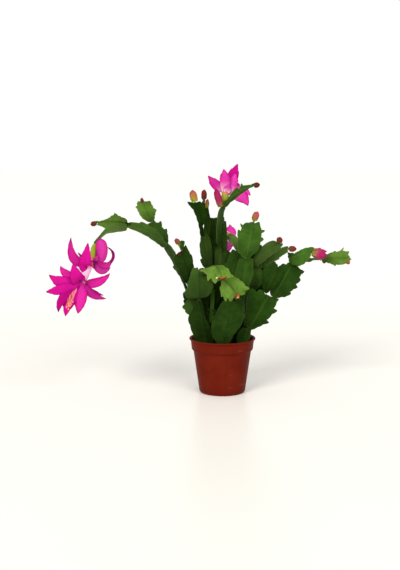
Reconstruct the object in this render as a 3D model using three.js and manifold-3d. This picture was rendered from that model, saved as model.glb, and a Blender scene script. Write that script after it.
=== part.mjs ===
// A flowering Christmas cactus (Schlumbergera truncata) in a small plastic pot.
// Millimetres, +Z up. The origin is the middle of the pot's underside, +X is to the right of the
// plant's front and +Y points to its back.
//
// The plant is a chain of flat segments. Every segment is a closed loft of four-cornered rings with
// one point at each end: the base point meets the carrying segment and the tip point carries the
// next one. Buds are lofts too, and a flower is a tube joined with its petals.
import * as THREE from "three";
import { mergeVertices } from "three/addons/utils/BufferGeometryUtils.js";
import Module from "manifold-3d";

const wasm = await Module();
wasm.setup();

// ---- Driving dimensions ------------------------------------------------------------------------

const GAP = 0.4; // left between pieces that touch
const POT = {
  height: 51,
  lipRadius: 30.5,
  lipHeight: 1.6,
  bandTopRadius: 29.1,
  bandBottomRadius: 28.2,
  bandHeight: 10.5,
  bodyTopRadius: 26.8,
  baseRadius: 21,
  baseRounding: 1.8,
  wall: 1.1,
  floor: 1.4,
  sides: 36,
};
const FOOT = { inner: 8, outer: 15, recess: 1 }; // the drain gutter under the pot
const DRAIN = { radius: 2.2, circle: 11.5, count: 5, sides: 12 };
const SOIL = { top: 45, dome: 1.2, roughness: 0.5, depth: 5, rings: 5, sides: 28 };
const RIB = { base: 1.5, tip: 1.0, neck: 1.1 }; // half thickness along a segment's midrib
const SIBLING_SPACING = 0.3; // share of a carrier's half width between two segments on its end
const PETAL = { thickness: 0.45, rootWidth: 1.6, stations: 5 };
const WHORLS = { outer: { share: 0.45, run: 0.62 }, inner: { share: 0.93, run: 0.3 } }; // petals on the tube
const TUBE = { sides: 8, ovaryRadius: 3.1, waistRadius: 2.5, mouthRadius: 4.2 };
const STAMENS = { sides: 6, rootRadius: 0.9, headRadius: 2.1 };

// ---- Colours, one material for each kind of piece ------------------------------------------------

const finish = (color, roughness) => new THREE.MeshStandardMaterial({ color, roughness, metalness: 0 });
const MATERIALS = {
  pot: finish(0x8a2f1c, 0.42),
  soil: finish(0x1f150f, 0.95),
  rooted: finish(0x2a4a1e, 0.5),
  slim: finish(0x35581f, 0.42),
  drawn: finish(0x4a7a28, 0.42),
  old: finish(0x26421c, 0.5),
  grown: finish(0x2c5a1c, 0.4),
  young: finish(0x63a02f, 0.4),
  bud: finish(0xb0515a, 0.45),
  petal: finish(0xdd1ba6, 0.5),
  stamen: finish(0xf2b0b4, 0.6),
};

// ---- The plant -----------------------------------------------------------------------------------

// A segment's outline by age. Each station gives its place along the midrib, its half width and how
// far its edge points lean ahead of the rib, all as shares of the segment's length or half width.
const OUTLINES = {
  rooted: [
    [0.05, 0.2, 0],
    [0.24, 0.36, 0],
    [0.36, 0.72, 0],
    [0.46, 0.92, 0],
    [0.53, 0.84, 0],
    [0.68, 1.0, 0],
    [0.8, 0.9, 0],
    [0.92, 0.62, 0.02],
    [0.98, 0.25, 0],
  ],
  old: [
    [0.04, 0.16, 0],
    [0.18, 0.62, 0],
    [0.33, 0.92, 0],
    [0.47, 0.94, 0],
    [0.54, 0.8, 0],
    [0.66, 0.98, 0],
    [0.8, 0.92, 0],
    [0.92, 0.6, 0.03],
    [0.98, 0.25, 0],
  ],
  grown: [
    [0.04, 0.14, 0],
    [0.2, 0.52, 0],
    [0.35, 0.78, 0],
    [0.46, 0.98, 0.03],
    [0.51, 0.82, 0],
    [0.65, 1.0, 0.04],
    [0.7, 0.82, 0],
    [0.83, 0.96, 0.05],
    [0.88, 0.84, 0.01],
    [0.95, 0.82, 0.05],
    [0.985, 0.3, 0],
  ],
  drawn: [
    [0.04, 0.2, 0],
    [0.14, 0.62, 0],
    [0.27, 0.94, 0.02],
    [0.33, 0.8, 0],
    [0.48, 0.78, 0.03],
    [0.54, 0.56, 0],
    [0.66, 0.44, 0.02],
    [0.72, 0.28, 0],
    [0.98, 0.18, 0],
  ],
  slim: [
    [0.04, 0.22, 0],
    [0.25, 0.4, 0],
    [0.42, 0.6, 0.02],
    [0.47, 0.5, 0],
    [0.68, 0.72, 0.03],
    [0.73, 0.6, 0],
    [0.92, 1.0, 0.06],
    [0.98, 0.3, 0],
  ],
  young: [
    [0.04, 0.14, 0],
    [0.18, 0.55, 0],
    [0.36, 0.82, 0],
    [0.5, 1.0, 0.05],
    [0.55, 0.8, 0],
    [0.72, 1.0, 0.08],
    [0.78, 0.8, 0.01],
    [0.93, 0.74, 0.07],
    [0.98, 0.25, 0],
  ],
};

// Every segment grows on another segment's tip, or stands rooted in the soil at x, y.
//   place: which part of the carrier's end it sits on, -1 to 1, in sibling spacings
//   tip: its far end; width: across its teeth; face: the way its broad side looks
//   bow: how far its middle stands off the straight line
const SEGMENTS = [
  { name: "left_stem_1", rooted: [-12, -7.5], tip: [-21.5, -14, 89.3], width: 24, face: [0.1, -1, 0.1] },
  { name: "left_stem_2", rooted: [-15, -3], tip: [-29.2, -9.5, 88], width: 18, face: [0.1, -1, 0.1] },
  { name: "left_stem_3", on: "left_stem_1", tip: [-22, -5.8, 114.6], width: 20, face: [0.15, -1, 0], bow: [-0.5, 0.2, 0], age: "old" },

  { name: "middle_stem_1", rooted: [-1, -15], tip: [8.5, -20, 89], width: 29, face: [0.05, -1, 0] },
  { name: "middle_stem_2", on: "middle_stem_1", place: 1, tip: [21, -9, 124.5], width: 17, face: [-0.5, -1, 0], bow: [1, -2, 0] },
  { name: "middle_stem_3", on: "middle_stem_2", tip: [27, -12, 159], width: 23, face: [0.1, -1, 0] },
  { name: "inner_stem_1", on: "middle_stem_1", place: -1, tip: [15, 6, 129], width: 18, face: [-0.3, -1, 0], bow: [-1, 3, 0] },
  { name: "inner_stem_2", on: "inner_stem_1", tip: [4, 15, 143], width: 11, face: [0.3, -1, 0.7], bow: [0, -1.5, 1.5] },

  { name: "right_stem_1", rooted: [14, -6], tip: [22.5, -8, 61], width: 12, face: [-0.3, -1, 0] },
  { name: "right_stem_2", on: "right_stem_1", place: 1, tip: [42, -12, 92], width: 27, face: [0.1, -1, 0.05] },
  { name: "right_stem_3", on: "right_stem_2", place: 1, tip: [64, 2, 120], width: 27, face: [0.1, -1, 0.1] },
  { name: "right_stem_4", on: "right_stem_2", place: -1, tip: [50, -9, 117.5], width: 20, face: [0.1, -1, 0], bow: [0, -2, 0] },
  { name: "right_twig_1", on: "right_stem_3", place: -1, tip: [80, -12, 131.5], width: 18, face: [-0.4, -1, 0.6], bow: [-1, 0, 1.2] },
  { name: "right_twig_2", on: "right_stem_3", place: 1, tip: [90, 2, 123.5], width: 5, face: [0, 0.15, 1], bow: [0, 0, 2], age: "slim" },
  { name: "right_twig_3", on: "right_twig_2", tip: [116, 0, 125], width: 15, face: [0, -1, 0.4], age: "young" },

  { name: "fork_1", on: "right_stem_1", place: -1, tip: [20.5, -1, 93.5], width: 15, face: [1, -0.35, 0], age: "old" },
  { name: "fork_2", on: "fork_1", tip: [28, -4, 117], width: 22, face: [-0.1, -1, 0], bow: [0.8, -1.6, 0] },
  { name: "fork_3", on: "fork_2", place: -1, tip: [50.5, -14, 139.5], width: 17, face: [-0.3, -1, 0.6], bow: [-1, 0, 1] },
  { name: "fork_4", on: "fork_2", place: 1, tip: [59, -3, 133.5], width: 13, face: [-0.35, -0.6, 0.9] },
  { name: "small_shoot", rooted: [15, 6], tip: [25, 10, 60], width: 9, face: [-0.3, -1, 0.2] },

  { name: "core_stem_1", rooted: [-7, -1], tip: [-13, -1, 78], width: 22, face: [-0.5, -1, 0] },
  { name: "core_stem_2", on: "core_stem_1", tip: [-10, -1, 109], width: 22, face: [0.2, -1, 0], age: "old" },
  {
    name: "drooping_1",
    on: "core_stem_2",
    place: -1,
    tip: [-1, -34, 109.5],
    width: 30,
    face: [0.1, -0.5, 1],
    bow: [0, 0, 10],
    age: "young",
  },
  { name: "drooping_2", on: "drooping_1", tip: [12, -43, 96], width: 25, face: [0.25, -1, 0.5], bow: [0, -2, 3], age: "young" },
  { name: "tall_left_1", on: "core_stem_2", place: 0, tip: [-17.2, -3, 145], width: 13, face: [-0.5, -1, 0], bow: [0, -1.5, 0] },
  { name: "tall_left_2", on: "tall_left_1", place: -1, tip: [-25.5, -8, 176.5], width: 18, face: [0.4, -1, 0], bow: [2, -1, 0], age: "slim" },
  { name: "tall_left_3", on: "tall_left_1", place: 1.3, tip: [-16, 6, 174.5], width: 10, face: [0.3, -1, 0], bow: [1.5, 3.5, 0], age: "slim" },
  { name: "tall_right_1", on: "core_stem_2", place: 1.3, tip: [-2.5, 6, 135.5], width: 18, face: [0.5, -1, 0], bow: [2, 1.5, 0] },
  { name: "tall_right_2", on: "tall_right_1", place: 1, tip: [0, 0, 172], width: 16, face: [1, -0.5, 0], bow: [-1.5, 0, 0] },
  { name: "tall_right_3", on: "tall_right_2", place: -0.4, tip: [27.4, -9, 191.6], width: 13, face: [0.3, -1, -0.6], bow: [0, 0, 3.5], age: "slim" },
  { name: "tall_back", on: "tall_right_1", place: -1, tip: [-9, 13, 160], width: 17, face: [0.5, -1, 0], bow: [-1, 1, 0] },

  { name: "arm_1", rooted: [-11, 7], tip: [-22, 9, 71], width: 18, face: [0.5, -1, 0] },
  { name: "arm_2", on: "arm_1", tip: [-30, 5, 94], width: 18, face: [0.2, -1, 0.1], age: "old" },
  { name: "arm_3", on: "arm_2", place: -1, tip: [-51, 4, 135.5], width: 14, face: [-0.9, -0.5, -0.3], bow: [0, 2, 1] },
  { name: "arm_side", on: "arm_2", place: 1, tip: [-37.5, -4, 132.5], width: 16, face: [0.15, -1, 0.1], bow: [-0.4, -2, 0] },
  { name: "arm_up_1", on: "arm_3", place: -1, tip: [-65.5, 9, 156.5], width: 17, face: [0.2, -1, 0.2] },
  { name: "arm_up_2", on: "arm_up_1", tip: [-72, 8, 175.5], width: 18, face: [0.15, -1, 0], age: "young" },
  { name: "arm_4", on: "arm_3", place: 1, tip: [-86, -6, 155.5], width: 13.5, face: [0.2, -0.75, 1], bow: [-1, 0, 3] },
  { name: "arm_5", on: "arm_4", place: -1, tip: [-115.5, -15, 140], width: 12, face: [-0.1, -1, 0.5], bow: [-1, -1, 5.5], age: "drawn" },
  { name: "arm_fork", on: "arm_4", place: 1, tip: [-113.5, -4, 157.5], width: 15, face: [0, -1, 0.25], bow: [0, 0, 2], age: "drawn" },

  { name: "back_stem_1", rooted: [5, 14], tip: [3, 21, 84], width: 24, face: [0.2, -1, 0] },
  { name: "back_stem_2", on: "back_stem_1", place: 1, tip: [13, 32, 114], width: 23, face: [-0.2, -1, 0.4], bow: [0, -1, 2] },
];

// Buds: the segment that carries each, where its point is, and its thickest radius.
const BUDS = [
  { name: "bud_tall_left", on: "tall_left_2", tip: [-26.5, -9, 187], radius: 3.5 },
  { name: "bud_tall_middle", on: "tall_left_3", place: -1, tip: [-17, 1, 187], radius: 2.3 },
  { name: "bud_beside_flower", on: "tall_right_2", place: -1.8, tip: [-6.3, -8, 188.2], radius: 3.3 },
  { name: "bud_twig_end", on: "tall_right_3", tip: [33, -10, 192.5], radius: 2.2 },
  { name: "bud_broad_segment", on: "middle_stem_3", tip: [31, -13, 168.4], radius: 3.1 },
  { name: "bud_fork_upper", on: "fork_3", tip: [51.3, -15, 146.5], radius: 2.6 },
  { name: "bud_fork_lower", on: "fork_4", tip: [67, -3, 134.8], radius: 2.6 },
  { name: "bud_arm_side", on: "arm_side", tip: [-42, -5, 143.5], radius: 2.2 },
  { name: "bud_arm_fork", on: "arm_fork", tip: [-120, -4, 156], radius: 1.9 },
  { name: "bud_opening", on: "right_twig_1", tip: [92.6, -10, 128], radius: 5 },
];

// Flowers: the carrying segment, the tube's bend and mouth, the petals as far ends with widths, and
// the far end of the stamens. Outer petals leave the tube half way along, inner ones at its mouth.
const FLOWERS = [
  {
    name: "hanging_flower",
    on: "arm_5",
    bend: [-115.5, -23, 123],
    mouth: [-128.5, -37, 106.2],
    stamens: [-136, -56, 87.5],
    outer: [
      { tip: [-111.5, -24, 145], width: 10.5 },
      { tip: [-119.8, -32, 142.5], width: 12 },
      { tip: [-136, -20, 146], width: 9 },
      { tip: [-99.5, -28, 125.5], width: 9 },
      { tip: [-103.5, -18, 137], width: 5 },
      { tip: [-131, -10, 131], width: 5 },
    ],
    inner: [
      { tip: [-131.5, -47, 126.5], width: 12 },
      { tip: [-144.5, -32, 122], width: 8 },
      { tip: [-153.5, -42, 115.5], width: 11 },
      { tip: [-156, -46, 101], width: 9.5 },
      { tip: [-144.7, -52, 84], width: 9 },
      { tip: [-138.8, -50, 80], width: 10 },
      { tip: [-128.3, -46, 81.6], width: 10 },
      { tip: [-104.5, -32, 92.5], width: 7 },
      { tip: [-100.8, -30, 115], width: 8.5 },
    ],
  },
  {
    name: "top_flower",
    on: "tall_right_2",
    place: 1.6,
    bend: [2.6, 4, 185],
    mouth: [7.7, 12, 192],
    stamens: [13.5, 31, 197],
    outer: [
      { tip: [-13.6, 2, 199.6], width: 9 },
      { tip: [0.7, -1, 205.8], width: 10.5 },
      { tip: [23.4, 8, 172], width: 11 },
      { tip: [25.3, 15, 180.6], width: 7 },
    ],
    inner: [
      { tip: [13.7, 11, 209.6], width: 11 },
      { tip: [-1.2, 27, 197.7], width: 9 },
      { tip: [7.3, 35, 200], width: 9 },
      { tip: [14, 31, 195], width: 9 },
      { tip: [15.5, 22, 190], width: 8 },
      { tip: [2, 26, 184], width: 8 },
    ],
  },
  {
    name: "rear_flower",
    on: "inner_stem_2",
    bend: [5.8, 23, 142.4],
    mouth: [6.5, 31, 139],
    stamens: [9, 50, 131],
    outer: [
      { tip: [7.3, 28, 152], width: 8 },
      { tip: [-2.8, 30, 142], width: 7 },
      { tip: [15, 32, 144.7], width: 7 },
      { tip: [5.6, 30, 126.8], width: 8 },
      { tip: [0.5, 26, 132], width: 7 },
    ],
    inner: [
      { tip: [5.5, 44, 150], width: 8 },
      { tip: [14.5, 43, 144], width: 8 },
      { tip: [14.4, 42, 131], width: 8 },
      { tip: [4, 42, 127], width: 8 },
      { tip: [-4, 42, 134], width: 8 },
      { tip: [-2, 43, 145], width: 8 },
    ],
  },
];

// ---- Lofts ---------------------------------------------------------------------------------------

const vector = ([x, y, z]) => new THREE.Vector3(x, y, z);
const along = (point, direction, distance) => point.clone().addScaledVector(direction, distance);

// A closed surface through rings of corners that run anticlockwise as seen from the end, with one
// point closing each end.
function loft(start, rings, end) {
  const corners = rings[0].length;
  const positions = [start, ...rings.flat(), end].flatMap((p) => [p.x, p.y, p.z]);
  const at = (ring, corner) => 1 + ring * corners + (corner % corners);
  const last = rings.length - 1;
  const index = [];
  for (let c = 0; c < corners; c++) {
    index.push(0, at(0, c + 1), at(0, c));
    for (let r = 0; r < last; r++) {
      index.push(at(r, c), at(r, c + 1), at(r + 1, c + 1));
      index.push(at(r, c), at(r + 1, c + 1), at(r + 1, c));
    }
    index.push(at(last, c), at(last, c + 1), 1 + rings.length * corners);
  }
  const geometry = new THREE.BufferGeometry();
  geometry.setAttribute("position", new THREE.Float32BufferAttribute(positions, 3));
  geometry.setIndex(index);
  return geometry;
}

// The side, forward and facing directions at a share of a curve, from the way its face looks.
function frameAt(curve, share, face) {
  const forward = curve.getTangent(share);
  const chord = curve.getPoint(1).sub(curve.getPoint(0));
  const side = new THREE.Vector3().crossVectors(chord, face).normalize();
  side.addScaledVector(forward, -side.dot(forward)).normalize();
  return { side, forward, facing: new THREE.Vector3().crossVectors(side, forward) };
}

// A round ring of corners about a point, across a direction.
function roundRing(centre, forward, radius, corners) {
  const level = Math.abs(forward.z) > 0.9 ? vector([1, 0, 0]) : vector([0, 0, 1]);
  const across = new THREE.Vector3().crossVectors(level, forward).normalize();
  const up = new THREE.Vector3().crossVectors(forward, across);
  return Array.from({ length: corners }, (_, i) => {
    const angle = (2 * Math.PI * i) / corners;
    return along(along(centre, across, radius * Math.cos(angle)), up, radius * Math.sin(angle));
  });
}

// A round loft along a curve, from a list of [share of the curve, radius].
function roundLoft(curve, sections, corners) {
  const rings = sections.map(([share, radius]) =>
    roundRing(curve.getPoint(share), curve.getTangent(share), radius, corners),
  );
  return loft(curve.getPoint(0), rings, curve.getPoint(1));
}

// ---- Solids --------------------------------------------------------------------------------------

function solidOf(geometry) {
  const bare = geometry.clone();
  bare.deleteAttribute("normal");
  bare.deleteAttribute("uv");
  const merged = mergeVertices(bare, 1e-3);
  const vertProperties = merged.attributes.position.array;
  const triVerts = new Uint32Array(merged.index.array);
  return new wasm.Manifold(new wasm.Mesh({ numProp: 3, vertProperties, triVerts }));
}

function geometryOf(solid) {
  const mesh = solid.getMesh();
  const geometry = new THREE.BufferGeometry();
  geometry.setAttribute("position", new THREE.BufferAttribute(mesh.vertProperties, 3));
  geometry.setIndex(new THREE.BufferAttribute(mesh.triVerts, 1));
  return geometry;
}

// ---- Pot and soil --------------------------------------------------------------------------------

// The pot's outer radius on its plain, tapered body.
const bodyRadius = (z) => THREE.MathUtils.lerp(POT.baseRadius, POT.bodyTopRadius, z / (POT.height - POT.bandHeight));

function pot() {
  const bandBottom = POT.height - POT.bandHeight;
  const lipBottom = POT.height - POT.lipHeight;
  const outer = [
    [0, 0],
    [FOOT.inner, 0],
    [FOOT.inner, FOOT.recess],
    [FOOT.outer, FOOT.recess],
    [FOOT.outer, 0],
    [POT.baseRadius - POT.baseRounding, 0],
    [POT.baseRadius - 0.25 * POT.baseRounding, 0.35 * POT.baseRounding],
    [bodyRadius(POT.baseRounding), POT.baseRounding],
    [bodyRadius(bandBottom - 1.5), bandBottom - 1.5],
    [POT.bandBottomRadius, bandBottom],
    [POT.bandTopRadius, lipBottom],
    [POT.lipRadius, lipBottom + 0.4],
    [POT.lipRadius, POT.height - 0.4],
    [POT.lipRadius - 0.6, POT.height],
  ];
  const inner = [
    [POT.bandTopRadius - POT.wall, POT.height],
    [POT.bandBottomRadius - POT.wall, bandBottom + 1],
    [bodyRadius(bandBottom) - POT.wall, bandBottom - 1],
    [bodyRadius(POT.floor) - POT.wall, FOOT.recess + POT.floor],
    [0, FOOT.recess + POT.floor],
  ];
  const profile = [...outer, ...inner].map(([radius, z]) => new THREE.Vector2(radius, z));
  const shell = new THREE.LatheGeometry(profile, POT.sides).rotateX(Math.PI / 2);
  return geometryOf(drainHoles().reduce((rest, hole) => rest.subtract(hole), solidOf(shell)));
}

function drainHoles() {
  return Array.from({ length: DRAIN.count }, (_, i) => {
    const angle = (2 * Math.PI * (i + 0.5)) / DRAIN.count;
    const hole = new THREE.CylinderGeometry(DRAIN.radius, DRAIN.radius, 8, DRAIN.sides).rotateX(Math.PI / 2);
    return solidOf(hole.translate(DRAIN.circle * Math.cos(angle), DRAIN.circle * Math.sin(angle), 0));
  });
}

// The root ball fills the pot and keeps a socket for every rooted segment.
function soil(sockets) {
  const bandBottom = POT.height - POT.bandHeight;
  const clear = POT.wall + GAP;
  const topRadius = POT.bandBottomRadius - clear;
  const profile = [
    [0, FOOT.recess + POT.floor + GAP],
    [bodyRadius(POT.floor) - clear, FOOT.recess + POT.floor + GAP],
    [bodyRadius(bandBottom) - clear - 0.2, bandBottom - 1],
    [topRadius, bandBottom + 1.5],
  ];
  for (let ring = 0; ring <= SOIL.rings; ring++) {
    const share = 1 - ring / SOIL.rings;
    profile.push([topRadius * share, SOIL.top + SOIL.dome * (1 - share ** 2)]);
  }
  const points = profile.map(([radius, z]) => new THREE.Vector2(radius, z));
  const ball = new THREE.LatheGeometry(points, SOIL.sides).rotateX(Math.PI / 2);
  roughenTop(ball);
  return geometryOf(sockets.reduce((rest, socket) => rest.subtract(socket), solidOf(ball)));
}

// Lifts and lowers the soil's upper surface in soft waves.
function roughenTop(geometry) {
  const position = geometry.attributes.position;
  for (let i = 0; i < position.count; i++) {
    if (position.getZ(i) < SOIL.top - 0.1) continue;
    const wave = Math.sin(0.9 * position.getX(i)) * Math.cos(0.7 * position.getY(i));
    position.setZ(i, position.getZ(i) + SOIL.roughness * wave);
  }
}

// ---- Segments ------------------------------------------------------------------------------------

// The curve that a segment's midrib follows.
function midrib(base, tip, bow = [0, 0, 0]) {
  const middle = base.clone().lerp(tip, 0.5).addScaledVector(vector(bow), 2);
  return new THREE.QuadraticBezierCurve3(base, middle, tip);
}

// A point on the end of a carrier, where its next segment, bud or flower begins.
function shoulder(carrier, place = 0) {
  const end = carrier.curve.getPoint(1);
  const { side } = frameAt(carrier.curve, 1, carrier.face);
  return along(end, side, 0.5 * carrier.width * SIBLING_SPACING * place);
}

// A segment's base: in the soil, or just off the end of its carrier.
function baseOf(spec, tip, carriers) {
  if (spec.rooted) return vector([...spec.rooted, SOIL.top - SOIL.depth]);
  const start = shoulder(carriers.get(spec.on), spec.place);
  return along(start, tip.clone().sub(start).normalize(), GAP);
}

// The rings of a segment. A grown copy, a little larger all round, cuts its socket in the soil.
function segmentGeometry({ curve, width, face, age }, grow = 0) {
  const length = curve.getLength();
  const rings = OUTLINES[age].map(([share, half, lead], station) => {
    const { side, forward, facing } = frameAt(curve, share, face);
    const centre = curve.getPoint(share);
    const rib = station === 0 ? RIB.neck : THREE.MathUtils.lerp(RIB.base, RIB.tip, share);
    const edge = along(centre, forward, lead * length);
    const reach = 0.5 * width * half + grow;
    return [
      along(edge, side, reach),
      along(centre, facing, -rib - grow),
      along(edge, side, -reach),
      along(centre, facing, rib + grow),
    ];
  });
  const start = along(curve.getPoint(0), curve.getTangent(0), -grow);
  return loft(start, rings, curve.getPoint(1));
}

function growSegments() {
  const grown = new Map();
  for (const spec of SEGMENTS) {
    const tip = vector(spec.tip);
    const curve = midrib(baseOf(spec, tip, grown), tip, spec.bow);
    const age = spec.age ?? (spec.rooted ? "rooted" : "grown");
    grown.set(spec.name, { ...spec, curve, age, face: vector(spec.face) });
  }
  return grown;
}

// ---- Buds ----------------------------------------------------------------------------------------

function budGeometry({ on, place, tip, radius }, carriers) {
  const start = shoulder(carriers.get(on), place);
  const end = vector(tip);
  const base = along(start, end.clone().sub(start).normalize(), GAP);
  const sections = [
    [0.06, 0.3 * radius],
    [0.24, 0.78 * radius],
    [0.48, radius],
    [0.7, 0.82 * radius],
    [0.9, 0.36 * radius],
  ];
  return roundLoft(new THREE.LineCurve3(base, end), sections, 6);
}

// ---- Flowers -------------------------------------------------------------------------------------

// The line of a flower's tube, from its carrier to its mouth.
function tubeCurve({ on, place, bend, mouth }, carriers) {
  const start = shoulder(carriers.get(on), place);
  const base = along(start, vector(bend).sub(start).normalize(), 2 * GAP);
  return new THREE.QuadraticBezierCurve3(base, vector(bend), vector(mouth));
}

// The tube: a swollen ovary, a narrow waist, and a slow flare to the mouth.
function tubeGeometry(curve) {
  const sections = [
    [0.05, 0.5 * TUBE.ovaryRadius],
    [0.15, TUBE.ovaryRadius],
    [0.28, TUBE.ovaryRadius],
    [0.4, TUBE.waistRadius],
    [0.55, 0.65 * TUBE.mouthRadius],
    [0.76, 0.85 * TUBE.mouthRadius],
    [0.97, TUBE.mouthRadius],
  ];
  return roundLoft(curve, sections, TUBE.sides);
}

// One petal: it leaves the tube forwards, by a run given as a share of its reach, then turns outwards
// and goes to its pointed tip.
function petalGeometry(tube, { share, run }, { tip, width }) {
  const root = tube.getPoint(share);
  const forward = tube.getTangent(share);
  const end = vector(tip);
  const out = end.clone().sub(root);
  out.addScaledVector(forward, -out.dot(forward)).normalize();
  const start = along(root, out, 0.35 * TUBE.mouthRadius);
  const reach = start.distanceTo(end);
  const first = along(along(start, forward, run * reach), out, 0.1 * reach);
  const second = along(first.clone().lerp(end, 0.5), out, 0.18 * reach);
  const curve = new THREE.CubicBezierCurve3(start, first, second, end);
  const side = new THREE.Vector3().crossVectors(forward, out).normalize();
  const rings = [];
  for (let i = 0; i < PETAL.stations; i++) {
    const along01 = 0.04 + (0.9 * i) / (PETAL.stations - 1);
    const half = Math.max(PETAL.rootWidth, 0.5 * width * Math.sin(Math.PI * along01 ** 0.8));
    const ahead = curve.getTangent(along01);
    const facing = new THREE.Vector3().crossVectors(side, ahead);
    const centre = curve.getPoint(along01);
    const taper = i === PETAL.stations - 1 ? 0.35 : 1;
    rings.push([
      along(centre, side, half * taper),
      along(centre, facing, -PETAL.thickness),
      along(centre, side, -half * taper),
      along(centre, facing, PETAL.thickness),
    ]);
  }
  return loft(start, rings, end);
}

function flowerGeometry(spec, tube) {
  const petals = [
    ...spec.outer.map((petal) => petalGeometry(tube, WHORLS.outer, petal)),
    ...spec.inner.map((petal) => petalGeometry(tube, WHORLS.inner, petal)),
  ];
  return geometryOf(petals.reduce((whole, petal) => whole.add(solidOf(petal)), solidOf(tubeGeometry(tube))));
}

// The bundle of stamens and style stands just clear of the tube's mouth.
function stamenGeometry(spec, tube) {
  const start = along(tube.getPoint(1), tube.getTangent(1), 3 * GAP);
  const sections = [
    [0.1, STAMENS.rootRadius],
    [0.6, 0.5 * (STAMENS.rootRadius + STAMENS.headRadius)],
    [0.9, STAMENS.headRadius],
  ];
  return roundLoft(new THREE.LineCurve3(start, vector(spec.stamens)), sections, STAMENS.sides);
}

// ---- The whole -----------------------------------------------------------------------------------

function assemble() {
  const whole = new THREE.Group();
  const place = (name, geometry, material) => {
    const mesh = new THREE.Mesh(geometry, MATERIALS[material]);
    mesh.name = name;
    whole.add(mesh);
  };
  const segments = growSegments();
  const rooted = [...segments.values()].filter((segment) => segment.rooted);
  place("pot", pot(), "pot");
  place("soil", soil(rooted.map((segment) => solidOf(segmentGeometry(segment, GAP)))), "soil");
  for (const segment of segments.values()) place(segment.name, segmentGeometry(segment), segment.age);
  for (const bud of BUDS) place(bud.name, budGeometry(bud, segments), "bud");
  for (const flower of FLOWERS) {
    const tube = tubeCurve(flower, segments);
    place(flower.name, flowerGeometry(flower, tube), "petal");
    place(`${flower.name}_stamens`, stamenGeometry(flower, tube), "stamen");
  }
  return whole;
}

export default assemble();
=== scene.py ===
"""A small flowering Christmas cactus in a round plastic pot.

Every stem segment, petal and filament starts as a flat or round blank, is cut to its outline on
the bench and is then laid over a curved line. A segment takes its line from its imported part, and
the small extra ones have lines of their own. Sizes are in metres unless a note says millimetres.
"""
import logging
import math
import random
from collections.abc import Callable, Iterator, Sequence
from contextlib import contextmanager
from dataclasses import dataclass, field
from enum import Enum
from functools import cached_property

import bmesh
import bpy
from mathutils import Euler, Matrix, Vector


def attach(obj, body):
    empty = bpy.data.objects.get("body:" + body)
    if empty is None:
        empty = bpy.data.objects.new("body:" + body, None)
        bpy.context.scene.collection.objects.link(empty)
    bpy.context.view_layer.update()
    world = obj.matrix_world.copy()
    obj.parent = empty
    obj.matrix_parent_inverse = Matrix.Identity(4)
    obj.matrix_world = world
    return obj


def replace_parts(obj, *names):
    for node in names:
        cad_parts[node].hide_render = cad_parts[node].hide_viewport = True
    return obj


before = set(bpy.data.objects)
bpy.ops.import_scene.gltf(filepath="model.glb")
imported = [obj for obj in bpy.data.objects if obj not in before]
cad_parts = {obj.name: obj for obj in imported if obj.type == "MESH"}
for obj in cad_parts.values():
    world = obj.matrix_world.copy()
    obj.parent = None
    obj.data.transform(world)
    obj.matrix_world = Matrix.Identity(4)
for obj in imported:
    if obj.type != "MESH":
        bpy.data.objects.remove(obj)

log = logging.getLogger("cactus")

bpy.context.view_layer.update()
MM = 0.001
BODY = "root"

Colour = tuple[float, float, float]
Margin = tuple[tuple[float, float], ...]
Material = bpy.types.Material
Mesh = bpy.types.Mesh
Piece = bpy.types.Object
Point = tuple[float, float, float]
Socket = bpy.types.NodeSocket


def metres(point: Point) -> Vector:
    """Turns a point in millimetres into a vector in metres."""
    return Vector(point) * MM


def between(low: float, high: float, share: float) -> float:
    """Gives the value that lies a share of the way from low to high."""
    return low + (high - low) * share


def evenly(count: int) -> list[float]:
    """Gives a number of shares, evenly spaced from 0 to 1."""
    return [i / (count - 1) for i in range(count)]


def polar(radius: float, angle: float, level: float = 0.0) -> Vector:
    """Gives the point at a distance and an angle round the upright axis."""
    return Vector((radius * math.cos(angle), radius * math.sin(angle), level))


def read_off(table: Margin, at: float) -> float:
    """Reads a value off a rising table, with a soft line between its entries.

    Args:
        table: pairs of place and value, in rising order of place.
        at: the place to read.

    Returns:
        The value there; the end values hold beyond the ends.
    """
    if at <= table[0][0]:
        return table[0][1]
    for (start, low), (end, high) in zip(table, table[1:]):
        if at <= end:
            share = (at - start) / (end - start)
            return between(low, high, share * share * (3 - 2 * share))
    return table[-1][1]


# ---- The bench: the moves that shape a piece ----


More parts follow.
